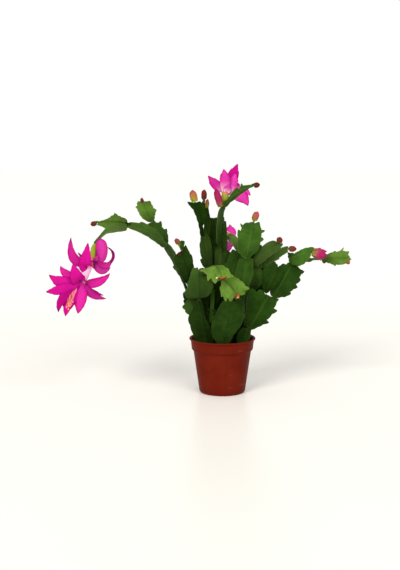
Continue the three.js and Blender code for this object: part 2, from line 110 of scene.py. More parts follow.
class Bench:
    """Short words for the moves of the hand that every piece needs."""

    @staticmethod
    def hold(piece: Piece) -> None:
        """Selects this piece alone and makes it the active one."""
        bpy.ops.object.select_all(action="DESELECT")
        piece.select_set(True)
        bpy.context.view_layer.objects.active = piece

    @staticmethod
    def fresh(name: str) -> Piece:
        """Takes the primitive that was just added, and names it and its mesh."""
        piece = bpy.context.view_layer.objects.active
        piece.name = name
        piece.data.name = name
        return piece

    @staticmethod
    def start(
        name: str, adder: Callable[..., object], location: Point = (0, 0, 0), **sizes: object
    ) -> Piece:
        """Adds a primitive with nothing else selected.

        Args:
            name: the name of the piece and of its mesh.
            adder: the operator that adds the primitive.
            location: where its middle is.
            sizes: its other sizes.

        Returns:
            The new piece.
        """
        bpy.ops.object.select_all(action="DESELECT")
        adder(location=location, **sizes)
        return Bench.fresh(name)

    @staticmethod
    @contextmanager
    def editing(piece: Piece) -> Iterator[None]:
        """Holds a piece in edit mode for the length of a with block."""
        Bench.hold(piece)
        bpy.ops.object.mode_set(mode="EDIT")
        bpy.ops.mesh.select_mode(type="VERT")
        try:
            yield
        finally:
            bpy.ops.object.mode_set(mode="OBJECT")

    @staticmethod
    def pick(piece: Piece, test: Callable[[Vector], bool]) -> None:
        """Selects the corners of a piece in edit mode whose place passes a test."""
        sheet = bmesh.from_edit_mesh(piece.data)
        for corner in sheet.verts:
            corner.select = test(corner.co)
        sheet.select_flush_mode()
        bmesh.update_edit_mesh(piece.data)

    @staticmethod
    def apply(piece: Piece, kind: str, **settings: object) -> None:
        """Gives a piece a modifier with these settings and applies it."""
        Bench.hold(piece)
        modifier = piece.modifiers.new(kind.lower(), kind)
        for name, value in settings.items():
            setattr(modifier, name, value)
        bpy.ops.object.modifier_apply(modifier=modifier.name)

    @staticmethod
    def smooth(piece: Piece, angle: float = 50) -> None:
        """Shades a piece smooth, except across edges sharper than the angle in degrees."""
        Bench.hold(piece)
        bpy.ops.object.shade_smooth_by_angle(angle=math.radians(angle))

    @staticmethod
    def keep_mesh(piece: Piece) -> Mesh:
        """Puts a blank away: its object goes and its mesh stays, to be copied."""
        mesh = piece.data
        mesh.use_fake_user = True
        bpy.data.objects.remove(piece)
        return mesh

    @staticmethod
    def copy_of(blank: Mesh, name: str) -> Piece:
        """Makes a new piece from a blank, with a mesh of its own."""
        mesh = blank.copy()
        mesh.use_fake_user = False
        mesh.name = name
        piece = bpy.data.objects.new(name, mesh)
        bpy.context.scene.collection.objects.link(piece)
        return piece

    @staticmethod
    def joined(name: str, pieces: Sequence[Piece]) -> Piece:
        """Joins pieces that grew as one.

        Args:
            name: the name of the joined piece.
            pieces: the pieces, of which the first takes in the others.

        Returns:
            The joined piece.
        """
        bpy.ops.object.select_all(action="DESELECT")
        for piece in pieces:
            piece.select_set(True)
        bpy.context.view_layer.objects.active = pieces[0]
        bpy.ops.object.join()
        return Bench.fresh(name)

    @staticmethod
    def spun(name: str, profile: Sequence[Point], axis: Point, steps: int) -> Piece:
        """Spins a profile once round an axis through the origin.

        Args:
            name: the name of the piece.
            profile: the points of the profile; its ends lie on the axis.
            axis: the direction of the axis.
            steps: how many sides the piece has.

        Returns:
            The closed piece, with its faces outwards.
        """
        piece = Bench.start(name, bpy.ops.mesh.primitive_plane_add, size=MM)
        with Bench.editing(piece):
            bpy.ops.mesh.select_all(action="SELECT")
            bpy.ops.mesh.merge(type="CENTER")
            bpy.ops.transform.translate(value=profile[0])
            for start, end in zip(profile, profile[1:]):
                step = tuple(Vector(end) - Vector(start))
                bpy.ops.mesh.extrude_vertices_move(TRANSFORM_OT_translate={"value": step})
            bpy.ops.mesh.select_all(action="SELECT")
            bpy.ops.mesh.spin(steps=steps, angle=math.tau, center=(0, 0, 0), axis=axis)
            bpy.ops.mesh.select_all(action="SELECT")
            bpy.ops.mesh.remove_doubles(threshold=0.01 * MM)
            bpy.ops.mesh.normals_make_consistent(inside=False)
        return piece


def mark(mesh: Mesh, name: str, values: Sequence[float]) -> None:
    """Writes one number per corner into a named attribute that the finishes read."""
    layer = mesh.attributes.get(name) or mesh.attributes.new(name, "FLOAT", "POINT")
    layer.data.foreach_set("value", list(values))


def dress(piece: Piece, finish: Material | None, **marks: float) -> None:
    """Gives a piece its finish, and writes each mark at all its corners."""
    for name, value in marks.items():
        mark(piece.data, name, [value] * len(piece.data.vertices))
    if finish:
        piece.data.materials.append(finish)


# ---- The former: lays a blank over a curved line ----


# How steeply a fold rises from the middle out to both margins.
FOLD_POWER = 1.6


@dataclass(frozen=True)
class Station:
    """One cross-section of the line that a blank is laid over.

    side and facing are unit vectors; half and depth are what the cage's half width and half depth
    become here; fold lifts both margins towards the facing side; wave lifts one margin and lowers
    the other.
    """

    centre: Vector
    side: Vector
    facing: Vector
    half: float
    depth: float
    fold: float = 0.0
    wave: float = 0.0


@dataclass(frozen=True)
class Former:
    """A flexible cage round a blank that lies along +Y with its foot at the origin.

    over is how far the cage stands out past both ends, as a share of its length.
    """

    width: float
    length: float
    depth: float
    across: int = 5
    over: float = 0.0

    def lay(self, piece: Piece, stations: Sequence[Station]) -> None:
        """Carries the blank over to a line of evenly spaced stations, from its foot to its tip.

        Args:
            piece: the blank's copy; its mesh ends up in its final place.
            stations: the cross-sections, evenly spaced over the cage's length.
        """
        bpy.ops.object.select_all(action="DESELECT")
        bpy.ops.object.add(type="LATTICE", location=(0, 0.5 * self.length, 0))
        cage = bpy.context.view_layer.objects.active
        cage.scale = (self.width, self.length * (1 + 2 * self.over), self.depth)
        cage.data.points_u = self.across
        cage.data.points_v = len(stations)
        cage.data.points_w = 2
        cage.data.interpolation_type_u = "KEY_CARDINAL" if self.across > 2 else "KEY_LINEAR"
        cage.data.interpolation_type_v = "KEY_CARDINAL"
        cage.data.interpolation_type_w = "KEY_LINEAR"
        bpy.context.view_layer.update()
        to_cage = cage.matrix_world.inverted()
        for index, point in enumerate(cage.data.points):
            row = (index // self.across) % len(stations)
            station = stations[row]
            x = 2 * (index % self.across) / (self.across - 1) - 1
            z = 1 if index >= self.across * len(stations) else -1
            lift = station.fold * abs(x) ** FOLD_POWER + station.wave * x + z * station.depth
            place = station.centre + station.side * (x * station.half) + station.facing * lift
            point.co_deform = to_cage @ place
        Bench.apply(piece, "LATTICE", object=cage)
        bpy.data.objects.remove(cage)


def turned_side(forward: Vector, facing: Vector) -> tuple[Vector, Vector]:
    """Gives the side direction, and the facing direction squared to the forward one."""
    side = forward.cross(facing).normalized()
    return side, side.cross(forward).normalized()


@dataclass(frozen=True)
class Line:
    """A smooth curve through space, given by the four handles of a Bezier curve."""

    handles: tuple[Vector, Vector, Vector, Vector]

    @staticmethod
    def bowed(start: Vector, end: Vector, bow: Vector) -> "Line":
        """Makes the curve from start to end whose middle stands off the straight line by bow."""
        middle = start.lerp(end, 0.5) + bow * 2
        return Line((start, start.lerp(middle, 2 / 3), end.lerp(middle, 2 / 3), end))

    def at(self, share: float) -> Vector:
        """Gives the point at a share of the curve."""
        a, b, c, d = self.handles
        rest = 1 - share
        return a * rest**3 + b * (3 * rest * rest * share) + c * (3 * rest * share**2) + d * share**3

    def forward(self, share: float) -> Vector:
        """Gives the direction of the curve at a share of it."""
        a, b, c, d = self.handles
        rest = 1 - share
        return ((b - a) * rest**2 + (c - b) * (2 * rest * share) + (d - c) * share**2).normalized()

    def length(self, steps: int = 24) -> float:
        """Measures the curve in short straight steps."""
        points = [self.at(share) for share in evenly(steps + 1)]
        return sum((b - a).length for a, b in zip(points, points[1:]))

    def beyond(self, share: float) -> Vector:
        """Gives the point at a share of the curve, running straight on past its ends."""
        inside = min(1.0, max(0.0, share))
        return self.at(inside) + self.forward(inside) * ((share - inside) * self.length())


class Blank:
    """A shape that is made once on the bench, along +Y, and then laid over one line or many."""

    def make(self) -> Mesh:
        """Makes the blank's mesh."""
        raise NotImplementedError

    def former(self) -> Former:
        """Gives the cage round the blank."""
        raise NotImplementedError

    @cached_property
    def mesh(self) -> Mesh:
        """Holds the blank's mesh, made when it is first asked for."""
        return self.make()

    def laid(self, name: str, stations: Sequence[Station]) -> Piece:
        """Lays a copy of the blank over a line of evenly spaced stations."""
        piece = Bench.copy_of(self.mesh, name)
        self.former().lay(piece, stations)
        return piece


# ---- Wiring: the nodes of a finish ----


class Wiring:
    """The nodes of one material or room, with short words for those that are used often."""

    def __init__(self, owner: Material | bpy.types.World) -> None:
        """Gives the owner nodes."""
        owner.use_nodes = True
        self.owner = owner
        self.tree = owner.node_tree

    def feed(self, socket: Socket, value: object) -> None:
        """Joins a socket to another one, or gives it a fixed value."""
        if isinstance(value, Socket):
            self.tree.links.new(value, socket)
        elif isinstance(value, tuple) and len(value) == 3 and socket.type == "RGBA":
            socket.default_value = (*value, 1)
        else:
            socket.default_value = value

    def add(
        self, kind: str, inputs: dict[str | int, object] | None = None, **settings: object
    ) -> bpy.types.Node:
        """Adds a node.

        Args:
            kind: the node's type.
            inputs: what its sockets are fed, by their names or numbers.
            settings: its fields.

        Returns:
            The node.
        """
        node = self.tree.nodes.new(kind)
        for name, value in settings.items():
            setattr(node, name, value)
        for name, value in (inputs or {}).items():
            self.feed(node.inputs[name], value)
        return node

    def shade(self, **values: object) -> Material:
        """Feeds the shader; a name's underscores stand for spaces. Gives the finished material."""
        for name, value in values.items():
            self.feed(self.tree.nodes["Principled BSDF"].inputs[name.replace("_", " ")], value)
        return self.owner

    def place(self) -> Socket:
        """Gives the place on the object, in metres."""
        return self.add("ShaderNodeTexCoord").outputs["Object"]

    def part(self, axis: str) -> Socket:
        """Gives one part of the place on the object."""
        return self.add("ShaderNodeSeparateXYZ", {"Vector": self.place()}).outputs[axis]

    def stretched(self, scale: Point) -> Socket:
        """Gives the place on the object, stretched along its axes."""
        return self.add("ShaderNodeMapping", {"Vector": self.place(), "Scale": scale}).outputs["Vector"]

    def number(self, attribute: str) -> Socket:
        """Reads one of the numbers that are marked on the mesh."""
        return self.add("ShaderNodeAttribute", attribute_name=attribute).outputs["Fac"]

    def math(self, operation: str, *values: object, clamp: bool = False) -> Socket:
        """Works out one value from up to three others."""
        inputs = dict(enumerate(values))
        return self.add("ShaderNodeMath", inputs, operation=operation, use_clamp=clamp).outputs[0]

    def times(self, value: object, *factors: object) -> Socket:
        """Multiplies a value by some factors, one after the other."""
        for factor in factors:
            value = self.math("MULTIPLY", value, factor)
        return value

    def step(self, value: object, low: float, high: float, start: float = 0, end: float = 1) -> Socket:
        """Turns a value into a soft step between two limits."""
        inputs = dict(enumerate((value, low, high, start, end)))
        return self.add("ShaderNodeMapRange", inputs, interpolation_type="SMOOTHSTEP").outputs["Result"]

    def noise(self, scale: float, detail: float = 3, vector: object = None, rough: float = 0.5) -> Socket:
        """Makes a noise pattern at a scale, on the object's place unless told otherwise."""
        inputs = {"Vector": vector or self.place(), "Scale": scale, "Detail": detail, "Roughness": rough}
        return self.add("ShaderNodeTexNoise", inputs).outputs["Fac"]

    def streaks(self, scale: float, across: float, along: float, tone: object) -> Socket:
        """Makes a noise pattern that is drawn out from the foot to the tip.

        Args:
            scale: the scale of the noise.
            across: how often it changes over the width.
            along: how often it changes over the length.
            tone: a number that gives each piece a pattern of its own.

        Returns:
            The pattern.
        """
        wide = self.times(self.number("across"), across)
        inputs = {"X": wide, "Y": self.times(self.number("along"), along), "Z": tone}
        return self.noise(scale, 3, self.add("ShaderNodeCombineXYZ", inputs).outputs["Vector"])

    def layered(self, ground: object, *layers: tuple[object, object]) -> Socket:
        """Lays colours over a ground, each where and as far as the mask beside it says."""
        for colour, mask in layers:
            inputs = {"Factor": mask, 6: ground, 7: colour}
            ground = self.add("ShaderNodeMix", inputs, data_type="RGBA").outputs[2]
        return ground

    def toned(self, colour: Socket, tone: object) -> Socket:
        """Makes a colour lighter or darker."""
        inputs = {"Value": tone, "Color": colour}
        return self.add("ShaderNodeHueSaturation", inputs).outputs["Color"]

    def bump(self, height: Socket, distance: float, strength: float = 1.0) -> None:
        """Raises the surface by a height pattern."""
        inputs = {"Strength": strength, "Distance": distance, "Height": height}
        self.shade(Normal=self.add("ShaderNodeBump", inputs).outputs["Normal"])


# ---- Finishes ----


@dataclass(frozen=True)
class SegmentSkin:
    """The waxy skin of a flat stem segment: mottled green with a midrib, side veins and a fine rim."""

    name: str
    deep: Colour
    light: Colour
    rib: Colour
    vein: Colour
    rim: Colour
    olive: Colour
    roughness: float
    glow: float
    vein_share: float = 0.35
    mottle: float = 110
    grain: float = 900
    side_veins: float = 7.5
    vein_slope: float = 0.16
    relief: float = 0.35 * MM

    def material(self) -> Material:
        """Mixes the finish."""
        w = Wiring(bpy.data.materials.new(self.name))
        across = w.math("ABSOLUTE", w.number("across"))
        along = w.number("along")
        tone = w.number("tone")
        broad = w.noise(self.mottle, 4)
        fine = w.noise(self.grain, 3)
        lines = w.streaks(1.5, across=6.0, along=1.3, tone=w.times(tone, 9.0))
        lean = w.math("MULTIPLY_ADD", across, -self.vein_slope, along)
        wander = w.math("MULTIPLY_ADD", broad, 0.05, lean)
        comb = w.math("FRACT", w.times(wander, self.side_veins))
        comb = w.math("ABSOLUTE", w.math("SUBTRACT", comb, 0.5))
        vein = w.times(w.step(comb, 0.07, 0.0), w.step(across, 0.95, 0.5))
        rib = w.step(across, 0.13, 0.02)
        green = w.layered(
            self.deep,
            (self.light, w.step(broad, 0.32, 0.68)),
            (self.light, w.step(lines, 0.5, 0.72, 0, 0.5)),
            (self.deep, w.step(lines, 0.46, 0.28, 0, 0.5)),
            (self.light, w.step(fine, 0.55, 0.75, 0, 0.3)),
            (self.vein, w.times(vein, self.vein_share)),
            (self.rib, w.times(rib, w.step(along, 1.05, 0.55, 0.35, 0.85), w.number("midrib"))),
            (self.rim, w.step(across, 0.93, 1.0, 0, 0.7)),
            (self.olive, w.number("olive")),
            (self.rib, w.step(along, 0.1, 0.0, 0, 0.55)),
        )
        height = w.math("MULTIPLY_ADD", rib, 1.2, w.times(vein, 0.5))
        height = w.math("ADD", height, w.times(fine, 0.35))
        height = w.math("ADD", height, w.times(broad, 0.8))
        w.bump(height, self.relief, 0.7)
        return w.shade(
            # Painted shade: the green is darkened towards each segment's foot, down among the joints, and a
            # little lightened towards its tip as painted light.
            Base_Color=w.toned(green, w.times(tone, w.step(along, 0.0, 0.7, 0.72, 1.12))),
            Roughness=w.step(broad, 0.3, 0.7, self.roughness - 0.05, self.roughness + 0.09),
            Subsurface_Weight=self.glow,
            Subsurface_Radius=(0.6, 1.0, 0.25),
            Subsurface_Scale=1.2 * MM,
            Specular_IOR_Level=0.035,
            Specular_Tint=(0.75, 1.0, 0.4),
        )


@dataclass(frozen=True)
class PetalSkin:
    """The thin silky skin of a flower: pale at the throat, deep pink in the blade, dark at the rim."""

    name: str
    throat: Colour
    blade: Colour
    deep: Colour
    rim: Colour
    blush: Colour
    clouds: float = 160
    relief: float = 0.25 * MM

    def material(self) -> Material:
        """Mixes the finish."""
        w = Wiring(bpy.data.materials.new(self.name))
        across = w.math("ABSOLUTE", w.number("across"))
        along = w.number("along")
        tone = w.number("tone")
        lines = w.streaks(1.6, across=9.0, along=1.6, tone=tone)
        cloud = w.noise(self.clouds, 3)
        centre = w.times(w.step(across, 0.95, 0.2, 0.25, 1.0), w.number("blush"))
        pale = w.math("MULTIPLY_ADD", lines, 0.12, along)
        reach = w.math("MULTIPLY_ADD", w.number("pale"), 0.6, 0.1)
        pallor = w.math("SUBTRACT", 1.0, w.math("DIVIDE", pale, reach), clamp=True)
        rim = w.math("MAXIMUM", w.step(across, 0.84, 1.0), w.step(along, 0.9, 1.0))
        pink = w.layered(
            self.blade,
            (self.deep, w.step(lines, 0.35, 0.7)),
            (self.blade, w.step(cloud, 0.4, 0.75, 0, 0.35)),
            (self.deep, w.step(across, 0.16, 0.0, 0, 0.4)),
            # Painted highlight, in part: a lighter pink along each petal's middle, partly the petal's own
            # paler pink.
            (self.blush, w.times(centre, w.step(lines, 0.2, 0.6, 0.45, 1.0))),
            (self.throat, w.step(pallor, 0.0, 0.9)),
            (self.rim, w.times(rim, 0.9)),
        )
        w.bump(lines, self.relief, 0.6)
        return w.shade(
            Base_Color=w.toned(pink, tone),
            Roughness=w.step(lines, 0.3, 0.7, 0.42, 0.58),
            Subsurface_Weight=0.3,
            Subsurface_Radius=(1.0, 0.35, 0.7),
            Subsurface_Scale=1.5 * MM,
            Specular_IOR_Level=0.02,
            Specular_Tint=(1.0, 0.3, 0.8),
        )


@dataclass(frozen=True)
class GradedSkin:
    """A smooth skin that runs from one colour at the foot to another at the tip."""

    name: str
    foot: Colour
    middle: Colour
    tip: Colour
    change: tuple[float, float, float, float]
    roughness: float = 0.45
    clouds: float = 240
    grain: float = 700
    relief: float = 0.2 * MM

    def material(self) -> Material:
        """Mixes the finish."""
        w = Wiring(bpy.data.materials.new(self.name))
        along = w.number("along")
        cloud = w.noise(self.clouds, 4)
        wander = w.math("MULTIPLY_ADD", w.math("SUBTRACT", cloud, 0.5), 0.3, along)
        first, last = w.step(wander, *self.change[:2]), w.step(wander, *self.change[2:])
        skin = w.layered(self.foot, (self.middle, first), (self.tip, last))
        w.bump(w.noise(self.grain, 3), self.relief, 0.5)
        return w.shade(
            Base_Color=w.toned(skin, w.number("tone")),
            Roughness=w.step(cloud, 0.3, 0.7, self.roughness - 0.05, self.roughness + 0.1),
            Subsurface_Weight=0.15,
            Subsurface_Radius=(1.0, 0.5, 0.4),
            Subsurface_Scale=1.2 * MM,
            Specular_IOR_Level=0.06,
        )


@dataclass(frozen=True)
class PotPlastic:
    """Satin red-brown plastic with faint mould lines and scuffs, and painted shade on its inner wall."""

    name: str = "pot_plastic_satin"
    body: Colour = (0.098, 0.0075, 0.0025)
    light: Colour = (0.120, 0.0110, 0.0042)
    dark: Colour = (0.045, 0.0042, 0.0022)
    dust: Colour = (0.24, 0.10, 0.06)
    painted_inner_shade: Colour = (0.014, 0.004, 0.003)
    clouds: float = 55
    flow_lines: float = 40
    scuffs: float = 120
    grain: float = 1500
    relief: float = 0.15 * MM
    inner_wall: tuple[float, float] = (28.4 * MM, 28 * MM)
    band_foot: tuple[float, float] = (39.5 * MM, 41 * MM)
    inner_shade_level: tuple[float, float] = (40 * MM, 42 * MM)
    foot_shade: tuple[float, float] = (7 * MM, 0.5 * MM)

    def material(self) -> Material:
        """Mixes the finish."""
        w = Wiring(bpy.data.materials.new(self.name))
        level = w.part("Z")
        cloud = w.noise(self.clouds, 4)
        flow = w.noise(self.flow_lines, 4, w.stretched((1, 1, 0.12)))
        scuff = w.noise(self.scuffs, 2, w.stretched((0.35, 0.35, 5)), 0.6)
        marks = w.times(w.step(scuff, 0.66, 0.72), w.step(cloud, 0.5, 0.6))
        radius = w.add("ShaderNodeVectorMath", {0: w.stretched((1, 1, 0))}, operation="LENGTH")
        inside = w.step(radius.outputs["Value"], *self.inner_wall)
        plastic = w.layered(
            self.body,
            (self.light, w.step(cloud, 0.3, 0.7)),
            (self.dark, w.step(flow, 0.5, 0.75, 0, 0.35)),
            # Painted light: the band and lip are painted a little lighter than the body below them.
            (self.light, w.step(level, *self.band_foot, 0, 0.3)),
            (self.dust, w.times(marks, 0.35)),
            # Painted shade: the body is darkened in patches close to its foot, by the floor.
            (self.dark, w.times(w.step(level, *self.foot_shade), w.step(cloud, 0.35, 0.65), 0.3)),
            # Painted shade: the inner wall, from a little below the soil's top up to the rim, is darkened
            # almost to black.
            (self.painted_inner_shade, w.times(inside, w.step(level, *self.inner_shade_level), 0.85)),
        )
        height = w.math("ADD", w.times(flow, 0.6), w.times(w.noise(self.grain, 2), 0.12))
        w.bump(height, self.relief, 0.5)
        return w.shade(
            Base_Color=plastic,
            Roughness=w.math("MULTIPLY_ADD", marks, 0.2, w.step(cloud, 0.3, 0.7, 0.36, 0.47)),
            Specular_IOR_Level=0.02,
        )


@dataclass(frozen=True)
class EarthFinish:
    """Loose, dark or dry matter: potting soil, rootlets, wool and dry scabs."""

    name: str
    dark: Colour
    light: Colour
    grain: float
    relief: float = 0.5
    roughness: float = 0.92

    def material(self) -> Material:
        """Mixes the finish."""
        w = Wiring(bpy.data.materials.new(self.name))
        coarse = w.noise(self.grain, 5, rough=0.65)
        fine = w.noise(self.grain * 5, 3)
        lumps, grains = w.step(coarse, 0.35, 0.68), w.step(fine, 0.62, 0.8, 0, 0.4)
        earth = w.layered(self.dark, (self.light, lumps), (self.light, grains))
        w.bump(w.math("MULTIPLY_ADD", fine, 0.5, coarse), self.relief * MM, 1.0)
        gloss = w.step(fine, 0.3, 0.7, self.roughness - 0.12, self.roughness)
        return w.shade(Base_Color=earth, Roughness=gloss, Specular_IOR_Level=0.1)


@dataclass(frozen=True)
class PaperFinish:
    """The studio's plain pale floor, very slightly uneven, and painted whiter towards the back as painted
    light.
    """

    name: str = "studio_floor"
    tint: Colour = (0.93, 0.91, 0.855)
    other: Colour = (0.95, 0.932, 0.88)
    back: Colour = (1.0, 1.0, 0.985)

    def material(self) -> Material:
        """Mixes the finish."""
        w = Wiring(bpy.data.materials.new(self.name))
        # Painted light: the floor turns whiter towards the back, so that it melts into the white backdrop.
        far = w.step(w.part("Y"), 0.0, 0.9)
        paper = w.layered(self.tint, (self.other, w.noise(3, 2)), (self.back, far))
        return w.shade(Base_Color=paper, Roughness=0.32)


class Skin(Enum):
    """The ages of segment skin."""

    OLD = "old_segments"
    GROWN = "grown_segments"
    YOUNG = "young_segments"


class BudSkin(Enum):
    """How far a bud's colour has come."""

    SALMON = "bud_skin"
    ROSY = "rosy_bud_skin"
    DARK = "dark_bud_skin"
    OPENING = "opening_bud_skin"


class Finishes:
    """All the finishes of the plant, mixed once."""

    def __init__(self) -> None:
        """Mixes every finish."""
        self.skins = {
            Skin.OLD: SegmentSkin(
                "old_segment_skin", deep=(0.0055, 0.0195, 0.0018), light=(0.0125, 0.0365, 0.0035),
                rib=(0.00744, 0.01632, 0.00245), vein=(0.0248, 0.068, 0.007), rim=(0.0186, 0.0374, 0.0042),
                olive=(0.035, 0.058, 0.013), roughness=0.46, glow=0.04,
            ).material(),
            Skin.GROWN: SegmentSkin(
                "grown_segment_skin", deep=(0.0082, 0.032, 0.0023), light=(0.0185, 0.057, 0.0050),
                rib=(0.040, 0.094, 0.0095), vein=(0.033, 0.0924, 0.0084), rim=(0.036, 0.0792, 0.007),
                olive=(0.055, 0.085, 0.020), roughness=0.4, glow=0.06,
            ).material(),
            Skin.YOUNG: SegmentSkin(
                "young_segment_skin", deep=(0.0504, 0.1224, 0.012), light=(0.1044, 0.2016, 0.0264),
                rib=(0.0252, 0.0468, 0.0072), vein=(0.144, 0.2448, 0.054), rim=(0.144, 0.1944, 0.042),
                olive=(0.12, 0.17, 0.03), roughness=0.4, glow=0.12, vein_share=0.3,
            ).material(),
        }
        self.petal = PetalSkin(
            "petal_silk", throat=(0.92, 0.48, 0.66), blade=(0.62, 0.005, 0.275), deep=(0.50, 0.003, 0.22),
            rim=(0.16, 0.003, 0.085), blush=(0.68, 0.060, 0.40),
        ).material()
        self.tube = GradedSkin(
            "flower_tube_skin", foot=(0.27, 0.30, 0.025), middle=(0.62, 0.13, 0.13), tip=(0.88, 0.44, 0.64),
            change=(0.28, 0.42, 0.45, 0.62),
        ).material()
        self.filament = GradedSkin(
            "filament_skin", foot=(0.85, 0.22, 0.44), middle=(0.86, 0.24, 0.28), tip=(0.88, 0.28, 0.20),
            change=(0.1, 0.45, 0.6, 1.0),
        ).material()
        self.buds = {
            skin: GradedSkin(skin.value, foot, middle, tip, change).material()
            for skin, foot, middle, tip, change in (
                (BudSkin.SALMON, (0.34, 0.33, 0.02), (0.40, 0.15, 0.05), (0.38, 0.045, 0.075),
                 (0.22, 0.62, 0.62, 0.98)),
                (BudSkin.ROSY, (0.20, 0.20, 0.015), (0.36, 0.10, 0.05), (0.42, 0.055, 0.10),
                 (0.12, 0.45, 0.45, 0.9)),
                (BudSkin.DARK, (0.055, 0.058, 0.008), (0.105, 0.018, 0.010), (0.115, 0.012, 0.016),
                 (0.1, 0.35, 0.6, 1.0)),
                (BudSkin.OPENING, (0.36, 0.27, 0.045), (0.56, 0.028, 0.15), (0.44, 0.008, 0.13),
                 (0.08, 0.42, 0.6, 1.0)),
            )
        }
        self.soil, self.rootlet, self.wool, self.scab, self.straw, self.felt = (
            EarthFinish(*values).material()
            for values in (
                ("potting_soil_peat", (0.005, 0.0035, 0.0025), (0.03, 0.018, 0.011), 420, 0.9),
                ("dry_rootlet", (0.3, 0.22, 0.13), (0.62, 0.52, 0.38), 900, 0.15, 0.8),
                ("areole_wool", (0.045, 0.016, 0.006), (0.15, 0.07, 0.028), 1500, 0.2, 0.85),
                ("areole_dry_scab", (0.07, 0.012, 0.004), (0.42, 0.12, 0.03), 420, 0.3, 0.8),
                ("areole_straw", (0.25, 0.10, 0.035), (0.6, 0.36, 0.16), 420, 0.3, 0.8),
                ("areole_pale_felt", (0.45, 0.38, 0.25), (0.85, 0.82, 0.7), 900, 0.2, 0.85),
            )
        )
        self.pot = PotPlastic().material()
        self.floor = PaperFinish().material()


# ---- Segments ----


@dataclass(frozen=True)
class Outline:
    """The outline of a segment: the corners of its two margins, from its foot to its tip.

    A corner is a share of the length and a share of the half width. A margin is sharp at its
    corners and swells by the bulge, a share of its run, between them.
    """

    left: Margin
    right: Margin
    bulge: float = 0.07

    def walk(self, margin: Margin, rows: int, slimness: float) -> list[Vector]:
        """Walks along a margin in a number of steps and sets foot on every corner.

        Args:
            margin: the corners of the margin.
            rows: how many steps are made.
            slimness: the length of the segment in half widths.

        Returns:
            The places stepped on, as shares of the length and of the half width.
        """
        corners = [Vector((along * slimness, out)) for along, out in margin]
        runs = [end - start for start, end in zip(corners, corners[1:])]
        steps = [1] * len(runs)
        while sum(steps) < rows:
            longest = max(range(len(runs)), key=lambda i: runs[i].length / steps[i])
            steps[longest] += 1
        places = [corners[0]]
        for start, run, count in zip(corners, runs, steps):
            for i in range(1, count + 1):
                share = i / count
                swell = 4 * self.bulge * share * (1 - share)
                places.append(start + run * share + Vector((-run.y, run.x)) * swell)
        return [Vector((place.x / slimness, place.y)) for place in places]


def margin(corners: str) -> Margin:
    """Reads the corners of a margin, each one its percent of the length and its percent outwards."""
    pairs = [corner.split(",") for corner in corners.split()]
    return tuple((int(along) / 100, int(out) / 100) for along, out in pairs)


def outline(left: str, right: str = "") -> Outline:
    """Reads an outline; its margins are alike unless the right one is given too."""
    return Outline(margin(left), margin(right or left))


